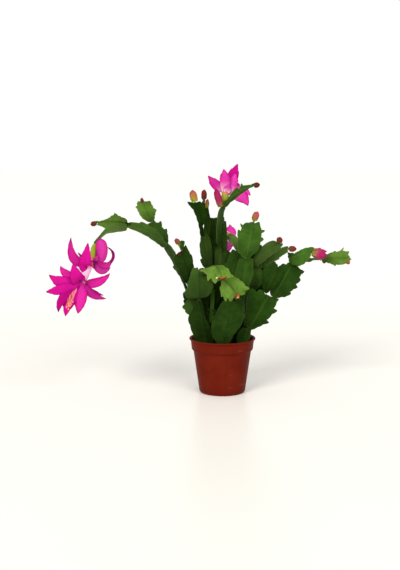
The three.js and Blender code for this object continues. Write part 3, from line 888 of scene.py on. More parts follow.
class Cut(Enum):
    """The outlines that the segments are cut to, their left margin first."""

    ROOTED = outline("0,20 20,34 40,80 52,98 54,88 76,100 78,86 95,70 100,10")
    TALL = outline("0,20 12,60 38,96 40,83 72,103 74,88 102,75 100,10")
    BROAD = outline("0,15 12,50 28,85 45,105 48,88 68,106 70,90 104,80 100,10")
    THREAD = outline("0,70 50,78 80,95 100,80 100,20")
    FRONT_FOOT = outline(
        "0,30 10,70 18,90 38,98 56,106 67,113 73,102 78,73 87,49 96,31 100,12",
        "0,20 11,37 22,46 36,45 48,36 60,20 70,13 82,14 93,16 100,10",
    )
    FRONT_LOBE = outline(
        "0,20 30,22 51,24 68,39 75,69 81,89 85,86 91,106 94,78 98,52 102,25 101,5",
        "0,20 30,30 47,44 63,70 78,80 91,72 99,35 100,8",
    )
    FRONT_TIP = outline(
        "0,30 0,57 0,80 3,112 11,129 22,133 33,116 39,100 51,103 64,86 78,74 94,65 107,50 105,32 108,8",
        "0,20 1,42 6,86 25,122 51,133 77,120 97,90 108,42 104,8",
    )
    WIDE_FOOT = outline(
        "0,8 10,12 15,32 21,60 30,82 40,92 54,97 64,99 66,86 74,80 84,71 94,58 100,42 100,10",
        "0,8 10,10 15,22 22,36 37,52 46,66 55,83 67,93 78,99 80,85 90,79 101,73 103,50 100,10",
    )
    GOBLET = outline(
        "0,15 8,26 20,65 46,98 77,108 98,100 100,55 100,10",
        "0,20 20,64 37,90 60,98 89,80 104,50 100,10",
    )
    TOOTHED = outline(
        "0,12 10,50 21,76 33,88 50,91 75,105 71,82 80,80 92,97 87,75 95,55 97,30 100,8",
        "0,12 15,48 26,74 38,87 50,87 60,110 64,86 74,83 82,108 83,78 93,61 103,50 98,20 100,6",
    )
    KEEN_LEFT = outline(
        "0,10 21,56 44,89 63,114 81,130 93,127 96,110 92,86 102,76 104,60 98,33 100,10",
        "0,15 15,46 28,65 39,96 42,70 62,83 76,104 77,72 95,68 104,70 101,45 100,10",
    )
    KEEN_RIGHT = outline(
        "0,15 12,43 31,58 50,63 71,63 86,54 88,33 97,22 100,8",
        "0,10 12,52 21,79 30,95 34,84 43,94 54,112 58,93 73,107 78,91 86,91 97,102 97,67 100,10",
    )
    LEANING = outline(
        "0,15 10,37 24,66 46,95 68,115 83,103 98,80 110,47 106,10",
        "0,10 15,27 34,44 53,54 73,55 97,40 110,15 106,5",
    )
    SADDLE = outline(
        "0,20 0,60 2,98 10,70 30,38 49,45 66,53 85,54 108,50 100,10",
        "0,20 20,80 40,107 59,91 76,88 85,71 95,45 100,10",
    )
    BARBED = outline(
        "0,30 10,48 24,56 42,78 51,95 55,77 69,92 80,128 78,92 88,80 100,78 95,42 100,10",
        "0,40 5,88 11,66 17,46 30,57 39,75 47,102 51,79 65,83 86,66 93,80 97,45 106,13",
    )
    BUD_HOLDER = outline(
        "0,10 14,23 28,51 46,74 60,79 82,76 92,56 100,10",
        "0,20 16,59 34,74 56,71 73,71 87,66 100,45 110,16 106,6",
    )
    LOWER_HOLDER = outline(
        "0,30 10,61 34,104 58,117 77,101 96,68 105,37 100,10",
        "0,15 23,67 43,68 65,99 67,70 80,60 96,52 100,10",
    )
    HALF_TURNED = outline(
        "0,10 31,24 52,34 77,22 100,5",
        "0,40 20,92 46,118 74,127 104,97 100,10",
    )
    ARM_SIDE = outline(
        "0,20 6,26 21,48 41,74 63,93 81,110 88,104 92,74 95,40 98,12 100,6",
        "0,8 14,12 31,30 49,86 63,92 82,102 87,88 97,77 109,60 103,37 100,10",
    )
    ARM_FOOT = outline(
        "0,10 20,10 33,23 46,71 53,104 56,65 64,48 74,68 94,95 100,20",
        "0,15 21,30 39,45 54,77 69,130 84,150 92,120 100,90 105,50 100,10",
    )
    ARM_ELBOW = outline(
        "0,20 16,28 41,45 66,50 85,59 99,69 101,24 100,10",
        "0,30 17,68 35,86 50,107 52,79 64,73 86,101 84,66 90,46 101,40 100,10",
    )
    ARM_CROWN = outline(
        "0,12 18,50 40,76 60,82 78,86 91,96 92,74 105,68 111,50 105,34 102,8",
        "0,30 20,58 34,76 45,95 57,71 78,65 94,63 97,32 100,8",
    )
    ARM_REACH = outline(
        "0,40 6,62 18,62 30,86 42,87 49,72 70,67 80,59 96,50 100,20",
        "0,15 14,35 24,73 38,107 52,109 70,130 75,100 86,84 96,56 100,20",
    )
    DRAWN = outline(
        "0,40 4,66 16,92 28,90 40,80 51,57 60,40 79,27 100,14",
        "0,30 4,48 18,56 32,57 43,63 54,51 63,37 74,17 100,12",
    )
    HATCHET = outline(
        "0,15 18,57 39,88 62,103 77,91 85,64 93,47 103,28 100,10",
        "0,20 8,54 21,60 33,74 45,107 47,74 57,52 67,30 77,15 91,10 97,18 102,30 103,8",
    )
    KNEE = outline(
        "0,40 20,80 36,122 43,124 45,88 57,97 70,89 85,79 90,63 102,42 100,10",
        "0,30 34,48 64,77 89,85 103,62 100,10",
    )
    FLARED = outline(
        "0,12 20,20 41,27 61,34 82,41 96,60 110,68 105,42 100,10",
        "0,10 15,17 29,13 45,37 65,67 80,78 96,55 97,15 100,5",
    )
    NARROW = outline(
        "0,30 10,57 30,60 56,60 81,73 100,69 108,20 104,8",
        "0,30 10,47 33,54 53,59 69,41 99,27 100,8",
    )
    COLUMN_LOW = outline(
        "0,30 28,48 57,68 80,69 98,46 100,10",
        "0,40 20,90 36,128 56,132 75,123 82,83 94,46 100,10",
    )
    COLUMN_HIGH = outline(
        "0,90 17,150 40,140 56,130 73,115 85,100 98,75 100,10",
        "0,60 23,129 38,119 56,102 57,72 69,67 70,42 80,46 93,85 100,10",
    )
    WAND = outline(
        "0,25 12,34 23,16 35,35 50,69 62,92 62,40 65,17 70,53 77,113 76,58 85,39 95,21 103,40 102,8",
        "0,30 6,52 20,44 39,63 56,54 73,48 88,22 100,15 100,5",
    )
    DROOPING = outline(
        "0,15 12,40 27,50 50,50 63,50 73,62 77,58 86,60 94,80 95,55 101,37 100,10",
        "0,10 10,45 25,80 40,93 62,88 80,78 100,92 91,66 94,58 106,50 95,36 101,20 100,10",
    )
    ROUND = outline(
        "0,10 10,30 20,63 34,85 52,92 67,99 78,96 98,108 93,74 105,56 101,26 100,8",
        "0,10 12,25 21,49 42,77 66,100 69,84 93,93 85,64 87,56 104,56 94,36 99,20 100,10",
    )


def grid_places(mesh: Mesh) -> list[Vector]:
    """Gives each corner's place on a grid, from the grid's own map."""
    places = [Vector((0, 0))] * len(mesh.vertices)
    layer = mesh.uv_layers.active.data
    for loop in mesh.loops:
        places[loop.vertex_index] = layer[loop.index].uv.copy()
    return places


@dataclass(frozen=True)
class SegmentBlank(Blank):
    """The flat blank of one outline, as thick as a real segment at its midrib and thin at its rim.

    reach and over say how far the cage round it stands out at the sides and at both ends; rake is
    how far the rows run forwards from the midrib, as a share of the length, and evenness how much
    their feet are drawn towards an even spacing.
    """

    cut: Cut
    width: float = 20 * MM
    length: float = 36 * MM
    depth: float = 10 * MM
    columns: int = 12
    rows: int = 36
    reach: float = 1.6
    over: float = 0.12
    rake: float = 0.12
    evenness: float = 0.25
    skin_thickness: float = 0.9 * MM
    rib_rise: Margin = ((0.5, 1.25), (0.25, 1.35), (0.09, 1.55))

    def former(self) -> Former:
        """Gives the cage round the blank, wider and longer than it so that its teeth lie inside."""
        return Former(self.width * self.reach, self.length, self.depth, 7, self.over)

    def ribs(self, left: list[Vector], right: list[Vector]) -> list[float]:
        """Spaces the rows along the midrib, so that each runs a little forwards to its margins.

        Args:
            left: the places of the rows' ends on the left margin.
            right: the places of the rows' ends on the right margin.

        Returns:
            The rising shares of the length at which the rows leave the midrib.
        """
        reached = 0.0
        places = []
        for row, (a, b) in enumerate(zip(left, right)):
            reached = max(reached, 0.5 * (a.x + b.x - self.rake * (a.y + b.y)))
            places.append(between(reached, row / self.rows, self.evenness))
        first, last = places[0], places[-1]
        return [(place - first) / (last - first) for place in places]

    def make(self) -> Mesh:
        """Cuts the blank: a grid whose rows are set to the outline, thickened and ribbed.

        Returns:
            The finished blank's mesh, with its marks.
        """
        outline = self.cut.value
        piece = Bench.start(
            f"blank_{self.cut.name.lower()}", bpy.ops.mesh.primitive_grid_add,
            x_subdivisions=self.columns, y_subdivisions=self.rows, size=1,
        )
        uvs = grid_places(piece.data)
        mark(piece.data, "across", [round(2 * uv.x - 1, 5) for uv in uvs])
        mark(piece.data, "row", [round(uv.y * self.rows) for uv in uvs])
        slimness = 2 * self.length / self.width
        left = outline.walk(outline.left, self.rows, slimness)
        right = outline.walk(outline.right, self.rows, slimness)
        with Bench.editing(piece):
            for row, rib in enumerate(self.ribs(left, right)):
                middle = (0, rib * self.length, 0)
                self.pick_marked(piece, row, (-2, 2))
                bpy.ops.transform.translate(value=(0, middle[1] + 0.5 - row / self.rows, 0))
                for sign, end, side in ((-1, left[row], (-2, -0.01)), (1, right[row], (0.01, 2))):
                    run = Vector((end.y * 0.5 * self.width, end.x * self.length - middle[1]))
                    self.pick_marked(piece, row, side)
                    bpy.ops.transform.resize(value=(2 * run.length, 1, 1), center_override=middle)
                    turn = -sign * math.atan2(run.y, run.x)
                    bpy.ops.transform.rotate(value=turn, orient_axis="Z", center_override=middle)
        mark(piece.data, "along", [corner.co.y / self.length for corner in piece.data.vertices])
        Bench.apply(piece, "SOLIDIFY", thickness=self.skin_thickness, offset=0)
        with Bench.editing(piece):
            for reach, rise in self.rib_rise:
                self.pick_marked(piece, None, (-reach, reach))
                bpy.ops.transform.resize(value=(1, 1, rise), center_override=(0, 0, 0))
        piece.data.attributes.remove(piece.data.attributes["row"])
        Bench.smooth(piece)
        return Bench.keep_mesh(piece)

    @staticmethod
    def pick_marked(piece: Piece, row: int | None, span: tuple[float, float]) -> None:
        """Selects the corners of one row, or of all rows, whose mark across lies in a span."""
        sheet = bmesh.from_edit_mesh(piece.data)
        across = sheet.verts.layers.float["across"]
        rows = sheet.verts.layers.float["row"]
        for corner in sheet.verts:
            inside = span[0] < corner[across] < span[1]
            corner.select = inside and (row is None or corner[rows] == row)
        sheet.select_flush_mode()
        bmesh.update_edit_mesh(piece.data)


@dataclass(frozen=True)
class Growth:
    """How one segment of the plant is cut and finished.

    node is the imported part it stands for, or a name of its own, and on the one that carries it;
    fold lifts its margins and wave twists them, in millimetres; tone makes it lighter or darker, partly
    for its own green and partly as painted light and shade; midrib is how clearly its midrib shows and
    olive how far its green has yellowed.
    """

    node: str
    on: str = ""
    cut: Cut = Cut.BROAD
    skin: Skin = Skin.GROWN
    tone: float = 1.0
    fold: float = 0.6
    wave: float = 0.3
    midrib: float = 0.35
    olive: float = 0.1


GROWTHS = (
    Growth("left_stem_1", "", Cut.FRONT_FOOT, Skin.OLD, 0.72, 1.0),
    Growth("left_stem_2", "", Cut.FRONT_LOBE, Skin.OLD, 1.5, olive=0.25),
    Growth("left_stem_3", "left_stem_1", Cut.FRONT_TIP, Skin.OLD, 1.55, 1.2, olive=0.3),
    Growth("middle_stem_1", "", Cut.WIDE_FOOT, Skin.OLD, 1.05, 0.4),
    Growth("middle_stem_2", "middle_stem_1", Cut.TALL, Skin.GROWN, 0.9),
    Growth("middle_stem_3", "middle_stem_2", Cut.TOOTHED, Skin.GROWN, 1.5, 0.3, olive=0.15),
    Growth("inner_stem_1", "middle_stem_1", Cut.TALL, Skin.GROWN, 0.7),
    Growth("inner_stem_2", "inner_stem_1", Cut.HALF_TURNED, Skin.GROWN, 1.6, olive=0.8),
    Growth("right_stem_1", "", Cut.ROOTED, Skin.OLD, 0.9),
    Growth("right_stem_2", "right_stem_1", Cut.KEEN_LEFT, Skin.GROWN, 0.74, 0.8, 0.3, 0.7, 0.05),
    Growth("right_stem_3", "right_stem_2", Cut.KEEN_RIGHT, Skin.GROWN, 0.75, 0.8, 0.3, 0.7, 0.05),
    Growth("right_stem_4", "right_stem_2", Cut.LEANING, Skin.GROWN, 0.56, olive=0.05),
    Growth("right_twig_1", "right_stem_3", Cut.SADDLE, Skin.GROWN, 1.9, -1.5, olive=0.15),
    Growth("right_twig_2", "right_stem_3", Cut.THREAD, Skin.GROWN, 2.3, 0.0, 0.0, olive=0.6),
    Growth("right_twig_3", "right_twig_2", Cut.BARBED, Skin.YOUNG, 0.8, 0.8),
    Growth("fork_1", "right_stem_1", Cut.TALL, Skin.OLD, 1.0),
    Growth("fork_2", "fork_1", Cut.GOBLET, Skin.GROWN, 1.05, 0.8, olive=0.25),
    Growth("fork_3", "fork_2", Cut.BUD_HOLDER, Skin.GROWN, 0.95, 0.8, olive=0.5),
    Growth("fork_4", "fork_2", Cut.LOWER_HOLDER, Skin.GROWN, 1.75, 0.6, olive=0.4),
    Growth("small_shoot", "", Cut.ROOTED, Skin.OLD, 1.1),
    Growth("core_stem_1", "", Cut.ROOTED, Skin.OLD, 0.6),
    Growth("core_stem_2", "core_stem_1", Cut.TALL, Skin.OLD, 0.7),
    Growth("drooping_1", "core_stem_2", Cut.DROOPING, Skin.YOUNG, 1.0, -1.4, 0.6, 0.8),
    Growth("drooping_2", "drooping_1", Cut.ROUND, Skin.YOUNG, 0.84, -1.2, 0.5, 0.9),
    Growth("tall_left_1", "core_stem_2", Cut.KNEE, Skin.GROWN, 0.55, olive=0.3),
    Growth("tall_left_2", "tall_left_1", Cut.FLARED, Skin.GROWN, 0.46, 0.8, olive=0.0),
    Growth("tall_left_3", "tall_left_1", Cut.NARROW, Skin.GROWN, 0.6, 0.6, 0.3, 0.9),
    Growth("tall_right_1", "core_stem_2", Cut.COLUMN_LOW, Skin.GROWN, 0.7, olive=0.35),
    Growth("tall_right_2", "tall_right_1", Cut.COLUMN_HIGH, Skin.GROWN, 0.85, olive=0.2),
    Growth("tall_right_3", "tall_right_2", Cut.WAND, Skin.GROWN, 1.45, 0.4, olive=0.3),
    Growth("tall_back", "tall_right_1", Cut.TALL, Skin.OLD, 1.5),
    Growth("arm_1", "", Cut.ROOTED, Skin.OLD, 0.9),
    Growth("arm_2", "arm_1", Cut.TALL, Skin.OLD, 0.95),
    Growth("arm_3", "arm_2", Cut.ARM_FOOT, Skin.GROWN, 0.7, olive=0.2),
    Growth("arm_side", "arm_2", Cut.ARM_SIDE, Skin.OLD, 0.75, 0.7),
    Growth("arm_up_1", "arm_3", Cut.ARM_ELBOW, Skin.GROWN, 0.9, olive=0.15),
    Growth("arm_up_2", "arm_up_1", Cut.ARM_CROWN, Skin.YOUNG, 0.72, 0.7, olive=0.0),
    Growth("arm_4", "arm_3", Cut.ARM_REACH, Skin.GROWN, 1.2, 1.2, olive=0.35),
    Growth("arm_5", "arm_4", Cut.DRAWN, Skin.GROWN, 1.5, 0.6, olive=0.6),
    Growth("arm_fork", "arm_4", Cut.HATCHET, Skin.YOUNG, 0.64, 0.5),
    Growth("back_stem_1", "", Cut.ROOTED, Skin.OLD, 1.0),
    Growth("back_stem_2", "back_stem_1", Cut.BROAD, Skin.GROWN, 0.8),
)


@dataclass(frozen=True)
class Leaf:
    """One more segment deep inside the plant, in millimetres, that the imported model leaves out."""

    name: str
    foot: Point
    tip: Point
    width: float
    # Painted shade: tone darkens these inner segments by default, for the shade deep inside the plant; a
    # few are painted lighter instead, as painted light.
    tone: float = 0.45
    cut: Cut = Cut.TALL
    face: Point = (0, -1, 0.2)
    bow: float = 0.6


LEAVES = (
    Leaf("inner_left_1", (-8.5, 11, 41), (-9.5, 10, 66), 13, 0.7),
    Leaf("inner_left_2", (-9.5, 10, 66.5), (-9.5, 8, 88), 11, 1.2),
    Leaf("inner_left_3", (-15.5, 9, 61), (-16, 8, 90), 10, 1.0),
    Leaf("inner_middle", (0, 9, 76), (-3, 6, 102), 10, 0.9),
    Leaf("inner_strip", (-10.6, -3, 64), (-8.2, -4, 97), 6, 2.4, Cut.NARROW),
    Leaf("column_right", (0.5, 6, 114), (0.2, 6, 155), 8, 1.2),
    Leaf("arm_joint", (-83.8, -6, 155.2), (-88.4, -6.1, 155.8), 5.5, 0.9, Cut.THREAD),
    Leaf("middle_joint", (20.2, 2, 115), (21.2, 1, 127.5), 7, 0.9),
    Leaf("fan_back", (31.5, 7, 89), (42, 5, 121), 17, 1.1, Cut.BROAD),
    Leaf("inner_back", (16.5, 11, 60), (14.5, 8, 92), 17),
    Leaf("foot_right", (19.1, 2, 42), (19.5, 2, 70), 6.5),
    Leaf("foot_middle", (8.5, 3, 42), (11.7, 4, 61), 12),
    Leaf("short_right", (25.5, 6, 83), (24.5, 6, 100), 6),
    Leaf("column_foot", (-8.7, 4, 114), (-8.3, 5, 141), 10, 1.2),
    Leaf("column_side", (-16, -1, 131), (-17, -2, 149), 5, 0.7),
    Leaf("fork_back", (27, 4, 112), (30.5, 3, 136), 13, 0.8, Cut.BROAD),
    Leaf("side_stub", (-36.9, -5, 133), (-36.4, -5, 141.2), 4, 1.6, Cut.THREAD),
)


def neighbours(corner: bmesh.types.BMVert) -> list[bmesh.types.BMVert]:
    """Gives the corners that share an edge with this one."""
    return [edge.other_vert(corner) for edge in corner.link_edges]


@dataclass
class Spine:
    """The midrib line of a segment and the direction its broad side looks."""

    points: list[Vector]
    sides: list[Vector]
    width: float

    @staticmethod
    def of_node(node: str, carrier: "Spine | None") -> "Spine":
        """Reads the line off a packed segment, whose skin is rings of four corners.

        Args:
            node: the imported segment.
            carrier: the line of the segment that carries it, or none where it is rooted.

        Returns:
            The line from its foot to its tip.
        """
        copy = Bench.copy_of(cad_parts[node].data, f"{node}_cage")
        with Bench.editing(copy):
            bpy.ops.mesh.select_all(action="SELECT")
            bpy.ops.mesh.remove_doubles(threshold=0.001 * MM)
        sheet = bmesh.new()
        sheet.from_mesh(copy.data)
        ends = [corner for corner in sheet.verts if len(corner.link_edges) == 4]
        if carrier is None:
            ends.sort(key=lambda corner: corner.co.z)
        else:
            ends.sort(key=lambda corner: (corner.co - carrier.points[-1]).length)
        rings = [[ends[0]]]
        seen = {ends[0]}
        while True:
            ring = {other for corner in rings[-1] for other in neighbours(corner)} - seen
            if not ring:
                break
            seen |= ring
            rings.append(list(ring))
        spine = Spine([ends[0].co.copy()], [], 0.0)
        for ring in rings[1:-1]:
            pairs = [(a, b) for a in ring for b in ring if a is not b and a not in neighbours(b)]
            wide = max(pairs, key=lambda pair: (pair[0].co - pair[1].co).length)
            rib = [corner for corner in ring if corner not in wide]
            span = wide[1].co - wide[0].co
            spine.points.append((rib[0].co + rib[1].co) / 2)
            spine.sides.append(span.normalized())
            spine.width = max(spine.width, span.length)
        spine.points.append(rings[-1][0].co.copy())
        sheet.free()
        bpy.data.objects.remove(copy)
        spine.sides = [spine.sides[0]] + spine.sides + [spine.sides[-1]]
        spine.square_up()
        return spine

    @staticmethod
    def of_line(line: Line, face: Vector, width: float, steps: int = 10) -> "Spine":
        """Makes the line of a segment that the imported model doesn't hold.

        Args:
            line: the curve of its midrib.
            face: where its broad side looks.
            width: its full width.
            steps: how many lengths the curve is read in.

        Returns:
            The line from its foot to its tip.
        """
        points = [line.at(share) for share in evenly(steps + 1)]
        chord = points[-1] - points[0]
        side = chord.cross(face).normalized()
        return Spine(points, [side] * len(points), width)

    def square_up(self) -> None:
        """Turns all the side directions to one hand, so that the face looks to the front."""
        front = Vector((0, -1, 0.35))
        chord = self.points[-1] - self.points[0]
        for index, side in enumerate(self.sides):
            if side.cross(chord).dot(front) < 0:
                self.sides[index] = -side

    def at(self, share: float) -> tuple[Vector, Vector, Vector]:
        """Gives the place, side and forward direction at a share of the length, past its ends too."""
        lengths = [(b - a).length for a, b in zip(self.points, self.points[1:])]
        whole = sum(lengths)
        rest = share * whole
        index = 0
        while index < len(lengths) - 1 and rest > lengths[index]:
            rest -= lengths[index]
            index += 1
        forward = (self.points[index + 1] - self.points[index]).normalized()
        place = self.points[index] + forward * rest
        blend = min(1.0, max(0.0, rest / lengths[index]))
        side = self.sides[index].lerp(self.sides[index + 1], blend)
        side = (side - forward * side.dot(forward)).normalized()
        return place, side, forward

    def stations(self, blank: SegmentBlank, growth: Growth, count: int = 13) -> list[Station]:
        """Sets out the stations that a segment's blank is laid over.

        Args:
            blank: the segment's blank.
            growth: says how the segment folds and waves.
            count: how many stations there are.

        Returns:
            The stations, evenly spaced.
        """
        reach = blank.reach
        chance = random.Random(growth.node)
        phase = chance.uniform(0, math.tau)
        turns = chance.uniform(0.7, 1.3)
        stations = []
        for step in evenly(count):
            share = between(-blank.over, 1 + blank.over, step)
            place, side, forward = self.at(share)
            facing = side.cross(forward).normalized()
            open_up = math.sin(math.pi * min(1.0, max(0.0, share * 1.1 + 0.05)))
            fold = growth.fold * MM * open_up * reach**FOLD_POWER
            wave = growth.wave * MM * math.sin(phase + math.tau * turns * share) * reach
            half = 0.5 * self.width * reach
            stations.append(Station(place, side, facing, half, 0.5 * blank.depth, fold, wave))
        return stations


@dataclass
class Stems:
    """All the flat stem segments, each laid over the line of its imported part."""

    finishes: Finishes
    blanks: dict[Cut, SegmentBlank] = field(default_factory=lambda: {cut: SegmentBlank(cut) for cut in Cut})
    spines: dict[str, Spine] = field(default_factory=dict)

    def build(self) -> None:
        """Makes every segment in the order it grew."""
        for growth in GROWTHS:
            spine = Spine.of_node(growth.node, self.spines.get(growth.on))
            self.spines[growth.node] = spine
            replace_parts(self.grow(growth, spine), growth.node)
        for leaf in LEAVES:
            line = Line.bowed(metres(leaf.foot), metres(leaf.tip), Vector((0, leaf.bow * MM, 0)))
            growth = Growth(leaf.name, cut=leaf.cut, skin=Skin.OLD, tone=leaf.tone)
            self.grow(growth, Spine.of_line(line, Vector(leaf.face), leaf.width * MM))

    def grow(self, growth: Growth, spine: Spine) -> Piece:
        """Lays one segment over its line and dresses it.

        Args:
            growth: how the segment is cut and finished.
            spine: its line.

        Returns:
            The finished piece.
        """
        blank = self.blanks[growth.cut]
        piece = blank.laid(f"{growth.node}_segment", spine.stations(blank, growth))
        skin = self.finishes.skins[growth.skin]
        dress(piece, skin, tone=growth.tone, midrib=growth.midrib, olive=growth.olive)
        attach(piece, BODY)
        log.info("segment %s: %.1f mm wide", piece.name, spine.width / MM)
        return piece


# ---- Round pieces: tubes, buds, filaments ----


@dataclass(frozen=True)
class RoundBlank(Blank):
    """A straight turned piece along +Y, given by its radius at shares of its length."""

    name: str
    length: float
    radii: Margin
    steps: int
    span: float = 12 * MM

    def former(self) -> Former:
        """Gives the square cage round the piece."""
        return Former(self.span, self.length, self.span, across=2)

    def make(self) -> Mesh:
        """Turns the piece and marks how far along it each corner is."""
        profile = [(radius, share * self.length, 0) for share, radius in self.radii]
        piece = Bench.spun(self.name, profile, (0, 1, 0), self.steps)
        mark(piece.data, "along", [corner.co.y / self.length for corner in piece.data.vertices])
        dress(piece, None, across=0.5)
        Bench.smooth(piece, 70)
        return Bench.keep_mesh(piece)

    def bent(self, name: str, line: Line, count: int = 9) -> Piece:
        """Bends a copy of the piece to a line.

        Args:
            name: the copy's name.
            line: the line of its middle.
            count: how many stations it is laid over.

        Returns:
            The bent copy.
        """
        chord = line.at(1) - line.at(0)
        level = Vector((0, 0, 1)) if abs(chord.normalized().z) < 0.9 else Vector((0, -1, 0))
        half = 0.5 * self.span
        stations = []
        for share in evenly(count):
            side, facing = turned_side(line.forward(share), level)
            stations.append(Station(line.at(share), side, facing, half, half))
        return self.laid(name, stations)


# ---- Petals ----


@dataclass(frozen=True)
class PetalBlank(Blank):
    """A thin pointed blade along +Y, given by its half width at shares of its length."""

    name: str
    body: Margin
    width: float = 10 * MM
    length: float = 30 * MM
    depth: float = 4 * MM
    columns: int = 8
    rows: int = 20
    thickness: float = 0.32 * MM

    def former(self) -> Former:
        """Gives the cage round the blade."""
        return Former(self.width, self.length, self.depth)

    def make(self) -> Mesh:
        """Cuts the blade from a grid, row by row, and thickens it.

        Returns:
            The finished blank's mesh, with its marks.
        """
        piece = Bench.start(
            self.name, bpy.ops.mesh.primitive_grid_add,
            x_subdivisions=self.columns, y_subdivisions=self.rows, size=1,
        )
        with Bench.editing(piece):
            for row in range(self.rows + 1):
                level = row / self.rows - 0.5
                half = read_off(self.body, row / self.rows)
                Bench.pick(piece, lambda co: abs(co.y - level) < 0.3 / self.rows)
                bpy.ops.transform.resize(value=(self.width * half, 1, 1), center_override=(0, 0, 0))
            bpy.ops.mesh.select_all(action="SELECT")
            bpy.ops.transform.translate(value=(0, 0.5, 0))
            bpy.ops.transform.resize(value=(1, self.length, 1), center_override=(0, 0, 0))
        mark(piece.data, "across", [2 * uv.x - 1 for uv in grid_places(piece.data)])
        mark(piece.data, "along", [corner.co.y / self.length for corner in piece.data.vertices])
        Bench.apply(piece, "SOLIDIFY", thickness=self.thickness, offset=0)
        Bench.smooth(piece, 60)
        return Bench.keep_mesh(piece)


class Blade(Enum):
    """The blades that the petals are cut from, each by its margin."""

    LANCE = PetalBlank("lance_petal_blank", margin("0,42 15,66 30,88 45,100 60,97 75,78 88,47 100,4"))
    SPEAR = PetalBlank("spear_petal_blank", margin("0,68 15,88 30,100 45,97 60,84 75,62 88,36 100,4"))
    TONGUE = PetalBlank("tongue_petal_blank", margin("0,50 20,75 40,94 60,100 80,92 92,66 100,15"))


FRONT = (0.0, -1.0, 0.1)


@dataclass(frozen=True)
class Petal:
    """One petal, in millimetres: its tip and width, and the two handles that shape its line.

    Without handles it simply opens outwards. The blush is how light the pink along its middle is,
    partly its own paler pink and partly a painted highlight; cup is how far its margins rise; shade is
    painted light and shade, how much lighter or darker the whole is painted for the light that falls on
    it; face is where its broad side looks towards the tip, or none where it looks away from the tube.
    """

    tip: Point
    width: float
    handles: tuple[Point, ...] = ()
    blade: Blade = Blade.LANCE
    blush: float = 0.2
    cup: float = 0.9
    shade: float = 1.0
    face: Point | None = FRONT


@dataclass(frozen=True)
class Bloom:
    """One open flower: its tube's line, its petals and its stamens, in millimetres.

    on and place say which segment carries it and where; spread is how wide its stamens fan out;
    pale is how far the pale throat runs out along its petals, girth how stout its ovary is and sag
    how far its stamens hang off the straight line.
    """

    node: str
    on: str
    place: float
    bend: Point
    mouth: Point
    stamens: Point
    filaments: int
    spread: float
    pale: float
    outer: tuple[Petal, ...]
    inner: tuple[Petal, ...]
    girth: float = 1.0
    sag: Point = (0, 0, 0)


HANGING = Bloom(
    "hanging_flower", "arm_5", 0.0,
    bend=(-115.5, -23, 123), mouth=(-128.5, -37, 106.2), stamens=(-136, -56, 87.5),
    filaments=26, spread=1.6, pale=0.1,
    outer=(
        Petal(
            (-111.5, -24, 145), 10.5, ((-109, -22, 124), (-105, -26, 138)),
            Blade.TONGUE, blush=0.85, cup=0.6, shade=0.75,
        ),
        Petal(
            (-119.8, -32, 142.5), 12.5, ((-125, -36, 112.5), (-121, -40, 130)),
            Blade.SPEAR, blush=0.05, shade=0.84,
        ),
        Petal((-112.6, -27, 131), 7.5, ((-116, -26, 119), (-112.5, -28, 124)), Blade.SPEAR, 0.6, 0.5, 0.85),
        Petal(
            (-136, -20, 146), 9, ((-126, -26, 121), (-139, -24, 124)),
            blush=0.3, shade=0.72, face=(0.2, -1, 0),
        ),
        Petal((-131, -10, 131), 5, ((-121.5, -14, 123), (-126.5, -10, 127)), shade=0.6, face=None),
        Petal((-99.5, -28, 125.5), 9, ((-112, -30, 120), (-105, -34, 119)), blush=0.5, shade=0.66),
        Petal(
            (-103.5, -18, 137), 5, ((-103, -22, 116), (-92.5, -20, 131)),
            shade=0.4, face=(-0.9, -0.5, 0.2),
        ),
        Petal(
            (-100.2, -30, 120.6), 6, ((-113, -32, 119), (-107, -37, 114)),
            blush=0.8, cup=0.5, shade=0.62,
        ),
    ),
    inner=(
        Petal(
            (-131.5, -47, 126.5), 13, ((-128, -44, 108), (-130, -50, 117.5)),
            Blade.SPEAR, blush=0.05, shade=0.9,
        ),
        Petal((-133.5, -38, 111.5), 7.5, ((-128.5, -38, 105), (-132, -38, 107.5)), Blade.TONGUE, 1.6, 0.5),
        Petal(
            (-144.5, -32, 122), 8, ((-132, -38, 111), (-142, -34, 114)),
            blush=0.3, shade=0.8, face=(0, -1, 0.4),
        ),
        Petal((-153.5, -42, 115.5), 11, ((-132.5, -44, 107), (-144, -46, 107)), blush=0.1, shade=0.82),
        Petal((-156, -46, 101), 9.5, ((-132.5, -45, 104), (-145, -50, 102.5)), blush=0.05, shade=0.75),
        Petal((-144.7, -52, 84), 9, ((-131.5, -44, 101.5), (-145.5, -52, 97.5)), blush=0.0, shade=0.55),
        Petal((-138.8, -50, 80), 11.5, ((-130, -42, 101), (-137.5, -50, 94.5)), blush=0.05, shade=0.8),
        Petal((-128.3, -46, 81.6), 11.5, ((-126.5, -42, 101), (-125.5, -48, 92.5)), blush=0.4, shade=0.85),
        Petal((-104.5, -32, 92.5), 7, ((-122.5, -38, 102), (-117, -38, 95)), blush=0.4, shade=0.6),
        Petal((-106.5, -33, 95.8), 5, ((-123, -37, 103), (-116.5, -37, 98.5)), blush=0.3, shade=0.5),
        Petal((-100.8, -30, 115), 8.5, ((-121.5, -36, 106), (-109, -34, 105)), blush=0.3, shade=0.78),
    ),
    sag=(-5, 0, -2),
)
